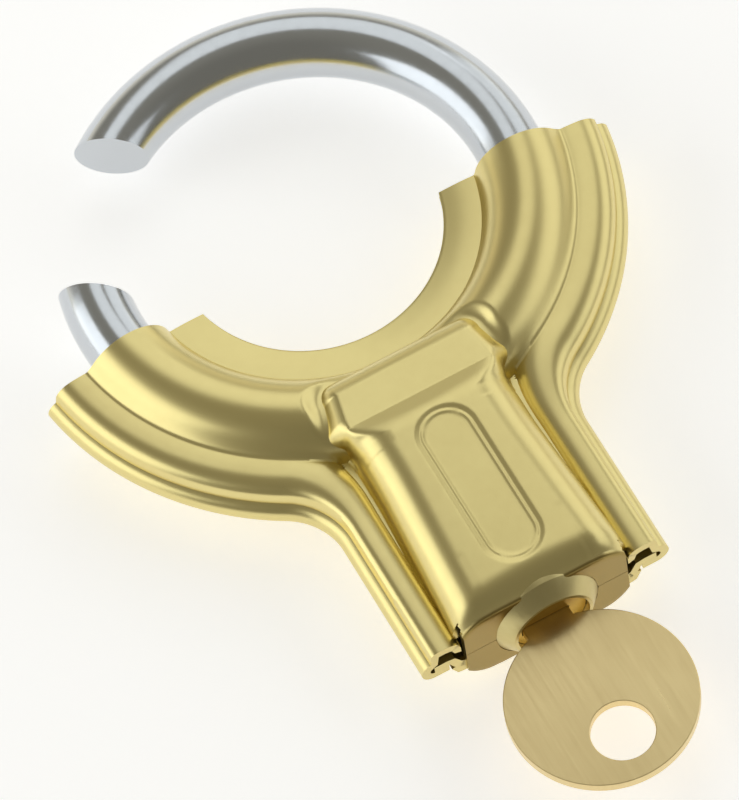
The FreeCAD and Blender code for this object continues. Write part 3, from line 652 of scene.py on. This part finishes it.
def rim_lines(form, angles):
    """Rows across the rim: (point on the outer edge, direction inwards, point inside)."""
    s = form.s
    # the row where the side of the box meets the tunnel
    corner_row, corner = next(
        (k, Vector((x, y))) for k, (x, y) in enumerate(on_circle(form.split, a) for a in angles)
        if x < form.half_width(y) - BOX_LAP
    )
    foot = Vector((s.box_end_half_width - BOX_LAP, -s.wall))
    neck = Vector((form.neck_x, form.neck_y))
    lines = []
    for angle in angles[:ARM_ROWS + 1]:
        outward = Vector(on_circle(1, angle))
        lines.append((outward * s.outer_radius, -outward, outward * form.split))
    for angle in angles[ARM_ROWS + 1:corner_row + 1]:
        inner = Vector(on_circle(form.split, angle))
        inward = (inner - neck).normalized()
        lines.append((neck + inward * s.neck_radius, inward, inner))
    last = lines[-1][1]
    start_turn = math.atan2(last.y, -last.x)
    bend_rows = max(round(start_turn / math.radians(BEND_STEP)), 4)
    bend_length = start_turn * s.neck_radius * BEND_SHARE
    flank_length = s.wall + form.neck_y
    whole = bend_length + flank_length
    for step in spaced(0.0, 1.0, bend_rows):
        angle = start_turn * (1 - step)
        inward = Vector((-math.cos(angle), math.sin(angle)))
        lines.append((neck + inward * s.neck_radius, inward,
                      corner.lerp(foot, bend_length * step / whole)))
    for step in spaced(0.0, 1.0, FLANK_ROWS):
        outer = Vector((s.flank_half_width, form.neck_y - flank_length * step))
        lines.append((outer, Vector((-1, 0)),
                      corner.lerp(foot, (bend_length + flank_length * step) / whole)))
    return lines


def add_rim(bm, form, side, lines):
    """Hem or rear flange, ridge and web, from the end of the arm to the end wall."""
    s = form.s
    rim = form.rim_profile()
    known = len(rim) - 1

    def place(column, row):
        outer, inward, inner = lines[row]
        if column <= known:
            distance, height = rim[column]
            x, y = outer + inward * distance
            return Vector((side * x, y, height))
        inset, ridge_radius, _lift = form.ridge(form.flank_share(outer.x, outer.y))
        spread = ridge_radius / (s.terrace if form.front else 1.0)
        ridge_end = min(inset + spread + RIDGE_MARGIN, (inner - outer).length - LEAST_WEB)
        if column <= known + RIDGE_COLUMNS:
            distance = mix(rim[-1][0], ridge_end, (column - known) / RIDGE_COLUMNS)
            x, y = outer + inward * distance
        else:
            start = outer + inward * ridge_end
            x, y = start.lerp(inner, (column - known - RIDGE_COLUMNS) / WEB_COLUMNS)
        return Vector((side * x, y, form.sheet_height(x, y)))

    patch(bm, known + RIDGE_COLUMNS + WEB_COLUMNS, len(lines) - 1, place)


# how the sheet falls away from the facet: metres, and degrees for the tilts
FACET_TILT = 13  # where its rounds start
END_RADIUS, END_TILT = 0.00425, 66
END_TAIL = ((0.0042, 0.0052), (0.0052, 0.0075))
EDGE_RADIUS, EDGE_TILT = 0.0026, 43
SIDE_RADIUS, SIDE_TILT = 0.0125, 60
SIDE_TAIL = ((0.0006, 0.0022), (0.0020, 0.0058))
CORNER_TILT = 52  # of the box's side at the crease
WALL_TILT = 88
FOOT_RUN, FOOT_RISE, FOOT_TURN = 0.0011, 0.0009, 55  # round at the foot of the box's side
FOOT_ROOM = 0.0010  # least height of that foot
FOOT_TAIL = (0.0010, 0.0006)
DRAWN_LEAD, DRAWN_LENGTH = 0.0015, 0.0024  # the facet's side gives way to the box's
TURN_STEPS = 20

# the mesh of the box
PROFILE_STEPS = 60
BOX_COLUMNS = 30
FACET_COLUMNS = 28
CORNER_ROWS = 18
FACET_ROWS = 24
RAMP_ROWS = 26
ROUND_START = 0.055  # centre of the ring to where the end round begins
PANEL_BANDS = ((-0.0396, 28), (-ROUND_START, 22), (-0.0598, 28))
END_ROWS = 16
COVER = 0.0005  # the sides of the box run on under the sheet
FIELD_BANDS = ((0.0027, 8), (0.0044, 12))  # columns that follow the obround field
NARROW_ROW = 0.0052  # half width of a row that squeezes them
EASE_ROWS = 8
TAB_MARGIN, TAB_SLOPE = 0.0002, 1.2
FOLD_ROWS, WALL_ROWS = 4, 8
FOLD_DROP, FOLD_TUCK = 0.0006, 0.0005
LEAST_WALL, LEAST_HEIGHT = 0.0008, 0.00004


def moved(points, start):
    return [(start[0] + x, start[1] + z) for x, z in points]


def facet_profiles():
    """Falls of the sheet beyond the facet, at its end and at its sides."""
    end = [*arc(END_RADIUS, FACET_TILT, END_TILT, 14), *END_TAIL]
    side = arc(EDGE_RADIUS, FACET_TILT, EDGE_TILT, 8)
    side += moved(arc(SIDE_RADIUS, EDGE_TILT, SIDE_TILT, 9)[1:], side[-1])
    side += moved(SIDE_TAIL, side[-1])
    return resampled(end, PROFILE_STEPS), resampled(side, PROFILE_STEPS)


def blended(first, second, share):
    return [tuple(mix(a, b, share) for a, b in zip(one, two)) for one, two in zip(first, second)]


def fall_at(profile, distance):
    """Fall of a profile at a distance from its start."""
    for (x, z), (next_x, next_z) in zip(profile, profile[1:]):
        if next_x >= distance:
            return mix(z, next_z, (distance - x) / (next_x - x) if next_x > x else 0.0)
    return profile[-1][1]


def box_side(form, tilt, height):
    """From a tilt on the round of the box down its side and foot to below the web."""
    bend = form.s.box_corner
    line = arc(bend, tilt, WALL_TILT, 18)
    wall = bend * (1 - math.sin(math.radians(tilt)))
    foot = height - form.s.web_height
    if line[-1][1] > foot - FOOT_RISE:
        line = [(x, z * (foot - FOOT_ROOM) / line[-1][1]) for x, z in line]
    for turn in spaced(0.0, math.radians(FOOT_TURN), 5):
        line.append((wall + FOOT_RUN * (1 - math.cos(turn)),
                     foot - FOOT_RISE * (1 - math.sin(turn))))
    return resampled(line + moved([FOOT_TAIL], (wall, foot)), PROFILE_STEPS)


def box_rows(form):
    """Rows round the edge of facet and panel: (start, outward, profile)."""
    s = form.s
    bend = s.box_corner
    end, side = facet_profiles()
    outwards = Vector((1, 0))
    rows = []
    for x in [0.0, *spaced(0.0, s.facet_half_width, FACET_COLUMNS)]:
        rows.append((Vector((x, -s.facet_start)), Vector((0, 1)), end))
    for turn in spaced(0.0, math.pi / 2, CORNER_ROWS):
        outward = Vector((math.sin(turn), math.cos(turn)))
        rows.append((Vector((s.facet_half_width, -s.facet_start)), outward,
                     blended(end, side, ease(turn / (math.pi / 2)))))
    facet_row = len(rows) - 1
    corner = box_side(form, CORNER_TILT, s.crease_height)
    drawn_in = s.facet_end - DRAWN_LEAD
    for y in spaced(-s.facet_start, -s.facet_end, FACET_ROWS):
        share = (-y - s.facet_start) / (s.facet_end - s.facet_start)
        wide = mix(s.facet_half_width, s.crease_half_width, share)
        rows.append((Vector((wide, y)), outwards,
                     blended(side, corner, ease((-y - drawn_in) / DRAWN_LENGTH))))
    crease_row = len(rows) - 1
    for y in spaced(-s.facet_end, -s.ramp_end, RAMP_ROWS):
        height = form.top(0.0, y)
        tilt = math.degrees(math.acos(min(1 - (s.box_height - height) / bend, 1.0)))
        start = form.half_width(y) - bend * (1 - math.sin(math.radians(tilt)))
        share = ease((-y - s.facet_end) / (s.ramp_end - s.facet_end))
        line = box_side(form, mix(CORNER_TILT, tilt, share), height)
        rows.append((Vector((mix(s.crease_half_width, start, share), y)), outwards,
                     blended(side, line, ease((-y - drawn_in) / DRAWN_LENGTH))))
    for y in banded(-s.ramp_end, (*PANEL_BANDS, (-s.wall, END_ROWS)))[1:]:
        rows.append((Vector((form.half_width(y) - bend, y)), outwards,
                     box_side(form, 0, s.box_height)))
    return rows, facet_row, crease_row


def box_sides(form, rows):
    """Points down the sides of the box, from each row's start to just under the sheet."""
    sides = []
    for start, outward, profile in rows:
        height = form.top(start.x, start.y)
        line = []
        cover = 0.0
        for distance, fall in profile:
            point = start + outward * distance
            level = height - fall
            if point.y < -ROUND_START:
                level = soft_min(level, form.end_round(point.y), END_BLEND)
            before, cover = cover, level - form.sheet_height(point.x, point.y) + COVER
            if cover < 0 and line:
                share = before / (before - cover)
                line.append(tuple(mix(a, b, share) for a, b in zip(line[-1], (distance, level))))
                break
            line.append((distance, level))
        even = resampled(line, BOX_COLUMNS)
        sides.append([Vector((*(start + outward * distance), z)) for distance, z in even])
    return sides


def raised_box(bm, form, side):
    """One half of the box: its round sides, the facet, the panel and the end wall."""
    s = form.s
    rows, facet_row, crease_row = box_rows(form)
    sides = box_sides(form, rows)

    def out(x, y, z):
        return Vector((side * x, y, z))

    patch(bm, BOX_COLUMNS, len(sides) - 1, lambda column, row: out(*sides[row][column]))

    def facet_place(column, row):
        edge = sides[facet_row + row][0]
        return out(edge.x * column / FACET_COLUMNS, edge.y, edge.z)

    patch(bm, FACET_COLUMNS, crease_row - facet_row, facet_place)

    fixed = banded(0.0, FIELD_BANDS)
    outer_columns = FACET_COLUMNS + 1 - len(fixed)

    def panel_x(column, edge):
        squeeze = min(edge / NARROW_ROW, 1.0)
        if column < len(fixed):
            return fixed[column] * squeeze
        return mix(fixed[-1] * squeeze, edge, (column - len(fixed) + 1) / outer_columns)

    def panel_place(column, row):
        edge = sides[crease_row + row][0]
        even = edge.x * column / FACET_COLUMNS
        if row == 0:
            return out(even, edge.y, edge.z)
        x = mix(even, panel_x(column, edge.x), ease(row / EASE_ROWS))
        return out(x, edge.y, edge.z if column == FACET_COLUMNS else form.top(x, edge.y))

    last = len(sides) - 1 - crease_row
    patch(bm, FACET_COLUMNS, last, panel_place)

    # the end wall is folded down from the end of the panel
    rim = [panel_place(column, last) for column in range(FACET_COLUMNS + 1)]
    rim += [out(*point) for point in sides[-1][1:] if point.x < s.tab_half_width - TAB_MARGIN]
    reach = side * s.tab_half_width - rim[-1].x
    rim.append(rim[-1] + Vector((reach, 0, -abs(reach) * TAB_SLOPE)))

    def wall_place(column, row):
        high = rim[column]
        reach = s.mouth_radius ** 2 - high.x ** 2
        low = max(math.sqrt(reach) if reach > 0 else 0.0, LEAST_HEIGHT)
        low = min(low, high.z - LEAST_WALL)
        turn = math.pi / 2 * min(row / FOLD_ROWS, 1.0)
        if row <= FOLD_ROWS:
            height = high.z - FOLD_DROP * (1 - math.cos(turn))
        else:
            height = mix(high.z - FOLD_DROP, low, (row - FOLD_ROWS) / WALL_ROWS)
        return Vector((high.x, high.y - FOLD_TUCK * math.sin(turn), height))

    patch(bm, len(rim) - 1, FOLD_ROWS + WALL_ROWS, wall_place)


MERGE_DISTANCE = 2e-6
CUT_DISTANCE = 1e-7
SHELL_SHARP = 35.0  # degrees from which an edge looks sharp
ARM_REGION = -0.02  # the arms' ends lie above this, along Y
BOX_REGION = (0.014, -0.0225)  # the box lies inside this half width and below this Y
SIDE_LEAD = 0.003  # its straight sides start this far before the crease
BURIED_INSET, BURIED_DEPTH = 0.0009, 0.0007  # inside and under the box from where it is hidden
RAMP_REGION = (0.006, 0.0125, 0.0045)  # beside the ramp: half widths, and least height
RAMP_LEAD, RAMP_TAIL = 0.0002, 0.002
RAMP_ROUNDS = 14
RELIEF_MARGIN = 0.001


def cut(bm, faces, point, normal, clear=True):
    """Cut faces with a plane and, to clear, drop what lies on the side of its normal."""
    edges = dict.fromkeys(edge for face in faces for edge in face.edges)
    verts = dict.fromkeys(vert for face in faces for vert in face.verts)
    bmesh.ops.bisect_plane(
        bm, geom=[*verts, *edges, *faces], dist=CUT_DISTANCE,
        plane_co=point, plane_no=normal, clear_outer=clear,
    )


def thickened(bm, thickness):
    """A mesh of the sheet with its thickness, which goes inwards, and closed edges."""
    bmesh.ops.recalc_face_normals(bm, faces=bm.faces)
    top = max(bm.faces, key=lambda f: f.calc_center_median().z)
    if top.normal.z < 0:
        bmesh.ops.reverse_faces(bm, faces=bm.faces)
    mesh = bpy.data.meshes.new("sheet")
    bm.to_mesh(mesh)
    bm.free()
    holder = new_object("sheet", mesh)
    wall = holder.modifiers.new("wall", "SOLIDIFY")
    wall.thickness = thickness
    wall.offset = -1.0
    solid = holder.evaluated_get(bpy.context.evaluated_depsgraph_get())
    thick = bpy.data.meshes.new_from_object(solid)
    bpy.data.objects.remove(holder)
    bpy.data.meshes.remove(mesh)
    return thick


def finish_mesh(name, bm, material, sharp=SHELL_SHARP):
    for face in bm.faces:
        face.smooth = True
    mesh = bpy.data.meshes.new(name)
    bm.to_mesh(mesh)
    bm.free()
    mesh.set_sharp_from_angle(angle=math.radians(sharp))
    mesh.materials.append(material)
    return new_object(name, mesh)


def drop_buried(bm, form):
    """Take out the faces that the box hides."""
    s = form.s
    end, side = facet_profiles()
    profiles = [blended(end, side, step / TURN_STEPS) for step in range(TURN_STEPS + 1)]

    def buried(face):
        x, y, z = face.calc_center_median()
        if y > BOX_REGION[1] or abs(x) > BOX_REGION[0]:
            return False
        if y < -s.facet_end + SIDE_LEAD:
            return abs(x) < form.half_width(y) - BURIED_INSET
        turn = math.atan2(max(abs(x) - s.facet_half_width, 0.0), max(y + s.facet_start, 1e-6))
        profile = profiles[round(ease(turn / (math.pi / 2)) * TURN_STEPS)]
        fall = fall_at(profile, form.facet_distance(x, y))
        return s.facet_height - fall > z + BURIED_DEPTH

    bmesh.ops.delete(bm, geom=[f for f in bm.faces if buried(f)], context="FACES")


def trimmed_arms(form):
    """Both halves of the sheet round the box, cut to their ends."""
    s = form.s
    bm = bmesh.new()
    turn = form.neck_turn
    angles = [0.0, *spaced(0.0, -turn, ARM_ROWS), *spaced(-turn, -math.pi / 2, TUNNEL_ROWS)]
    lines = rim_lines(form, angles)
    for side in (-1, 1):
        add_tunnel(bm, form, side, angles)
        add_rim(bm, form, side, lines)
    bmesh.ops.remove_doubles(bm, verts=bm.verts, dist=MERGE_DISTANCE)
    for side in (-1, 1):
        normal = Vector((side * math.sin(s.arm_end_tilt), math.cos(s.arm_end_tilt), 0))
        arm = [f for f in bm.faces if side * f.calc_center_median().x > 0
               and f.calc_center_median().y > ARM_REGION]
        cut(bm, arm, (0, -s.arm_end_drop, 0), normal)
    drop_buried(bm, form)
    return bm


def soften_ramp(bm, s):
    """Smooth the sides of the box beside the ramp, where two profiles meet."""
    inner, outer, low = RAMP_REGION
    ramp = [v for v in bm.verts if inner < abs(v.co.x) < outer and v.co.z > low
            and -s.ramp_end - RAMP_TAIL < v.co.y < -s.facet_end - RAMP_LEAD]
    for _round in range(RAMP_ROUNDS):
        bmesh.ops.smooth_vert(bm, verts=ramp, factor=0.5,
                              use_axis_x=True, use_axis_y=True, use_axis_z=True)


def trimmed_box(form):
    """Both halves of the box, with the corners beside the end wall relieved."""
    s = form.s
    bm = bmesh.new()
    for side in (-1, 1):
        raised_box(bm, form, side)
    bmesh.ops.remove_doubles(bm, verts=bm.verts, dist=MERGE_DISTANCE)
    soften_ramp(bm, s)
    relief = s.sheet - s.wall

    def corner(side, half_width):
        return [f for f in bm.faces if side * f.calc_center_median().x > half_width
                and f.calc_center_median().y < relief + RELIEF_MARGIN]

    for side in (-1, 1):
        near = corner(side, s.tab_half_width - RELIEF_MARGIN)
        cut(bm, near, (side * s.tab_half_width, 0, 0), (1, 0, 0), clear=False)
        cut(bm, corner(side, s.tab_half_width), (0, relief, 0), (0, -1, 0))
    return bm


def build_shell(name, front, material):
    form = Pressing(bpy.context.scene.padlock_shells, front)
    together = bmesh.new()
    for bm in (trimmed_arms(form), trimmed_box(form)):
        thick = thickened(bm, form.s.sheet)
        together.from_mesh(thick)
        bpy.data.meshes.remove(thick)
    if not front:
        bmesh.ops.scale(together, vec=(1, 1, -1), verts=together.verts)
        bmesh.ops.reverse_faces(together, faces=together.faces)
    piece = finish_mesh(name, together, material)
    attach(piece, "lock_body")
    return piece


# pieces and materials
FINISHES = {}
SLOTS = {part["node"]: part["material_slot"] for part in frame["record"]["subparts"]}
OTHER_METALS = {"retaining_clip": "spring_steel"}
ROUNDED = {"cylinder_housing": 0.00018, "key": 0.00012}  # rounds of their edges
SAME_POINT = 1e-6
FLAT = 0.5  # degrees between two faces that are one
EDGE_ANGLE = 35.0  # degrees from which an edge is rounded
ROUNDED_SHARP = 20.0  # degrees from which an edge looks sharp


class PADLOCK_OT_finishes(Operator):
    """Make the metals of the lock"""

    bl_idname = "padlock.finishes"
    bl_label = "Finishes"

    def execute(self, context):
        for slot, (colour, worn, roughness, grain, others) in METALS.items():
            FINISHES[slot] = brushed_metal(slot, colour, worn, roughness, grain, **others)
        zinc = context.scene.padlock_finishes.zinc
        FINISHES["case_metal"] = cast_metal("case_metal", zinc)
        return {"FINISHED"}


class PADLOCK_OT_shells(Operator):
    """Press the front and rear shells"""

    bl_idname = "padlock.shells"
    bl_label = "Shells"

    def execute(self, context):
        for name, front in (("front_shell", True), ("rear_shell", False)):
            piece = build_shell(f"{name}_pressed", front, FINISHES["shell_brass"])
            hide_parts(name)
        return {"FINISHED"}


class PADLOCK_OT_rounded(Operator):
    """Round the edges of the collar and the key"""

    bl_idname = "padlock.rounded"
    bl_label = "Rounded edges"

    def execute(self, context):
        for node, width in ROUNDED.items():
            source = frame["nodes"][node]
            bm = bmesh.new()
            bm.from_mesh(source.data)
            bmesh.ops.remove_doubles(bm, verts=bm.verts, dist=SAME_POINT)
            bmesh.ops.dissolve_limit(bm, angle_limit=math.radians(FLAT),
                                     verts=bm.verts, edges=bm.edges)
            sharp = [e for e in bm.edges if len(e.link_faces) == 2
                     and e.calc_face_angle_signed(0.0) > math.radians(EDGE_ANGLE)]
            bmesh.ops.bevel(bm, geom=sharp, offset=width, offset_type="OFFSET",
                            affect="EDGES", segments=2, profile=0.5, clamp_overlap=True,
                            material=-1)
            piece = finish_mesh(f"{node}_rounded", bm, FINISHES[SLOTS[node]], ROUNDED_SHARP)
            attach(piece, body_of(source)[0])
            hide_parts(node)
        return {"FINISHED"}


class PADLOCK_OT_springs(Operator):
    """Copy each spring that a joint shortens when a pin lifts or the bolt is drawn, and give it
    its metal
    """

    bl_idname = "padlock.springs"
    bl_label = "Springs"

    def execute(self, context):
        for joint in frame["joints"]:
            for spring in joint.get("deforming_nodes", ()):
                self.make_spring(joint, spring)
        return {"FINISHED"}

    def make_spring(self, joint, spring):
        node = spring["node"]
        letter = spring["mode"][-1]
        axis = "xyz".index(letter)
        low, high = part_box(node)
        held = min(low, high, key=lambda c: abs(c[axis] - spring[f"fixed_end_{letter}_m"]))
        piece = new_object(f"{node}_wire", frame["nodes"][node].data.copy())
        piece.data.materials.clear()
        piece.data.materials.append(FINISHES[SLOTS[node]])
        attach(piece, "lock_body")
        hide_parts(node)
        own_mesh(piece)


class PADLOCK_OT_metals(Operator):
    """Give every solid piece its metal"""

    bl_idname = "padlock.metals"
    bl_label = "Metals"

    def execute(self, context):
        for node, slot in SLOTS.items():
            mesh = frame["nodes"][node].data
            mesh.materials.clear()
            mesh.materials.append(FINISHES[OTHER_METALS.get(node, slot)])
        return {"FINISHED"}


# the studio: metres, and degrees for the camera
WHITE = (1.0, 1.0, 1.0)
FLOOR_SIZE, FLOOR_GAP = 3.0, 0.0001
LAMP_DISTANCE = 0.75
LAMP_TARGET = Vector((0, -0.025, 0))
LAMPS = {
    # where a lamp stands, seen from the lock, and its size
    "left_light": ((-0.86, 0.16, 0.38), (0.8, 0.58)),
    "back_light": ((0.28, 0.66, 0.78), (0.38, 0.62)),
    "right_light": ((0.84, 0.07, 0.48), (1.2, 0.5)),
}
VIEW_AZIMUTH, VIEW_ELEVATION, VIEW_ROLL = -19.21, 60.89, -10.46
VIEW_ACROSS, VIEW_UP, VIEW_DISTANCE = 0.007945, -0.02125, 1.2446
FOCAL_PIXELS, PICTURE_HEIGHT = 9757, 800
SENSOR_HEIGHT = 36.0  # millimetres


def soft_light(name, direction, size):
    """A rectangular soft light that faces the lock."""
    studio = bpy.context.scene.padlock_studio
    lamp = bpy.data.lights.new(name, "AREA")
    lamp.shape = "RECTANGLE"
    lamp.size, lamp.size_y = size
    lamp.energy = getattr(studio, name) * math.pi * size[0] * size[1]
    lamp.color = studio.lamp_tint
    holder = new_object(name, lamp)
    direction = Vector(direction).normalized()
    holder.location = LAMP_TARGET + direction * LAMP_DISTANCE
    holder.rotation_euler = direction.to_track_quat("Z", "Y").to_euler()


def lay_floor(studio):
    """A pale floor that looks white and keeps the lock's shadow."""
    bm = bmesh.new()
    bmesh.ops.create_grid(bm, x_segments=8, y_segments=8, size=FLOOR_SIZE)
    bmesh.ops.translate(bm, verts=bm.verts, vec=(0, 0, CAD_BOX[0][2] - FLOOR_GAP))
    material, tree = new_finish("floor")
    dull = tree.node("ShaderNodeBsdfDiffuse", {"Color": studio.floor})
    glow = tree.node("ShaderNodeEmission", {"Color": WHITE, "Strength": studio.glow})
    both = tree.node("ShaderNodeAddShader", {0: dull, 1: glow})
    tree.finish(tree.node("ShaderNodeMixShader", {0: tree.seen(), 1: dull, 2: both}))
    finish_mesh("floor", bm, material)


def light_room(scene, studio):
    """A dim room, brighter behind the ring, that is white where the camera sees it."""
    world = bpy.data.worlds.new("room")
    scene.world = world
    room = Finish(world)
    _x, y, z = room.node("ShaderNodeTexCoord", output="Generated").axes()
    behind = y.between(0.25, 0.75) * (1 - z.between(0.05, 0.4))
    level = (y.between(-0.5, 0.1) * 0.2 + 0.8) * studio.room + behind * studio.behind
    dim = room.node("ShaderNodeBackground", {"Color": studio.room_tint, "Strength": level})
    white = room.node("ShaderNodeBackground", {"Color": WHITE, "Strength": 1.0})
    seen = room.node("ShaderNodeLightPath", output="Is Camera Ray")
    both = room.node("ShaderNodeMixShader", {0: seen, 1: dim, 2: white})
    room.finish(both, "World")


def place_camera(scene):
    """The camera of the photograph."""
    azimuth, elevation, roll = map(math.radians, (VIEW_AZIMUTH, VIEW_ELEVATION, VIEW_ROLL))
    turn = (Matrix.Rotation(azimuth, 4, "Z") @ Matrix.Rotation(math.pi / 2 - elevation, 4, "X")
            @ Matrix.Rotation(roll, 4, "Z"))
    lens = bpy.data.cameras.new("camera")
    lens.sensor_fit = "VERTICAL"
    lens.sensor_height = SENSOR_HEIGHT
    lens.lens = FOCAL_PIXELS / PICTURE_HEIGHT * SENSOR_HEIGHT
    lens.clip_start = 0.05
    scene.camera = new_object("camera", lens)
    scene.camera.matrix_world = turn @ Matrix.Translation((VIEW_ACROSS, VIEW_UP, VIEW_DISTANCE))


class PADLOCK_OT_stage(Operator):
    """Set the floor, the lights, the room and the camera"""

    bl_idname = "padlock.stage"
    bl_label = "Stage"

    def execute(self, context):
        scene = context.scene
        lay_floor(scene.padlock_studio)
        light_room(scene, scene.padlock_studio)
        for name, (direction, size) in LAMPS.items():
            soft_light(name, direction, size)
        place_camera(scene)
        scene.view_settings.view_transform = "Standard"
        return {"FINISHED"}


class PADLOCK_PT_panel(Panel):
    """Lists the steps that build the lock."""

    bl_idname = "PADLOCK_PT_panel"
    bl_label = "Padlock"
    bl_space_type = "VIEW_3D"
    bl_region_type = "UI"
    bl_category = "Padlock"

    def draw(self, context):
        for operator in STEPS:
            self.layout.operator(operator.bl_idname)
        for group in ("padlock_shells", "padlock_finishes", "padlock_studio"):
            settings = getattr(context.scene, group)
            for name in settings.__annotations__:
                self.layout.prop(settings, name)


GROUPS = {
    "padlock_shells": PADLOCK_PG_shells,
    "padlock_finishes": PADLOCK_PG_finishes,
    "padlock_studio": PADLOCK_PG_studio,
}
STEPS = [
    PADLOCK_OT_finishes,
    PADLOCK_OT_shells,
    PADLOCK_OT_rounded,
    PADLOCK_OT_springs,
    PADLOCK_OT_metals,
    PADLOCK_OT_stage,
]


def register():
    for group in (*GROUPS.values(), *STEPS, PADLOCK_PT_panel):
        bpy.utils.register_class(group)
    for name, group in GROUPS.items():
        setattr(bpy.types.Scene, name, PointerProperty(type=group))


def unregister():
    for name in GROUPS:
        delattr(bpy.types.Scene, name)
    for group in (PADLOCK_PT_panel, *reversed(STEPS), *reversed(GROUPS.values())):
        bpy.utils.unregister_class(group)


def main():
    register()
    for step in STEPS:
        area, name = step.bl_idname.split(".")
        getattr(getattr(bpy.ops, area), name)()


if __name__ == "__main__":
    main()
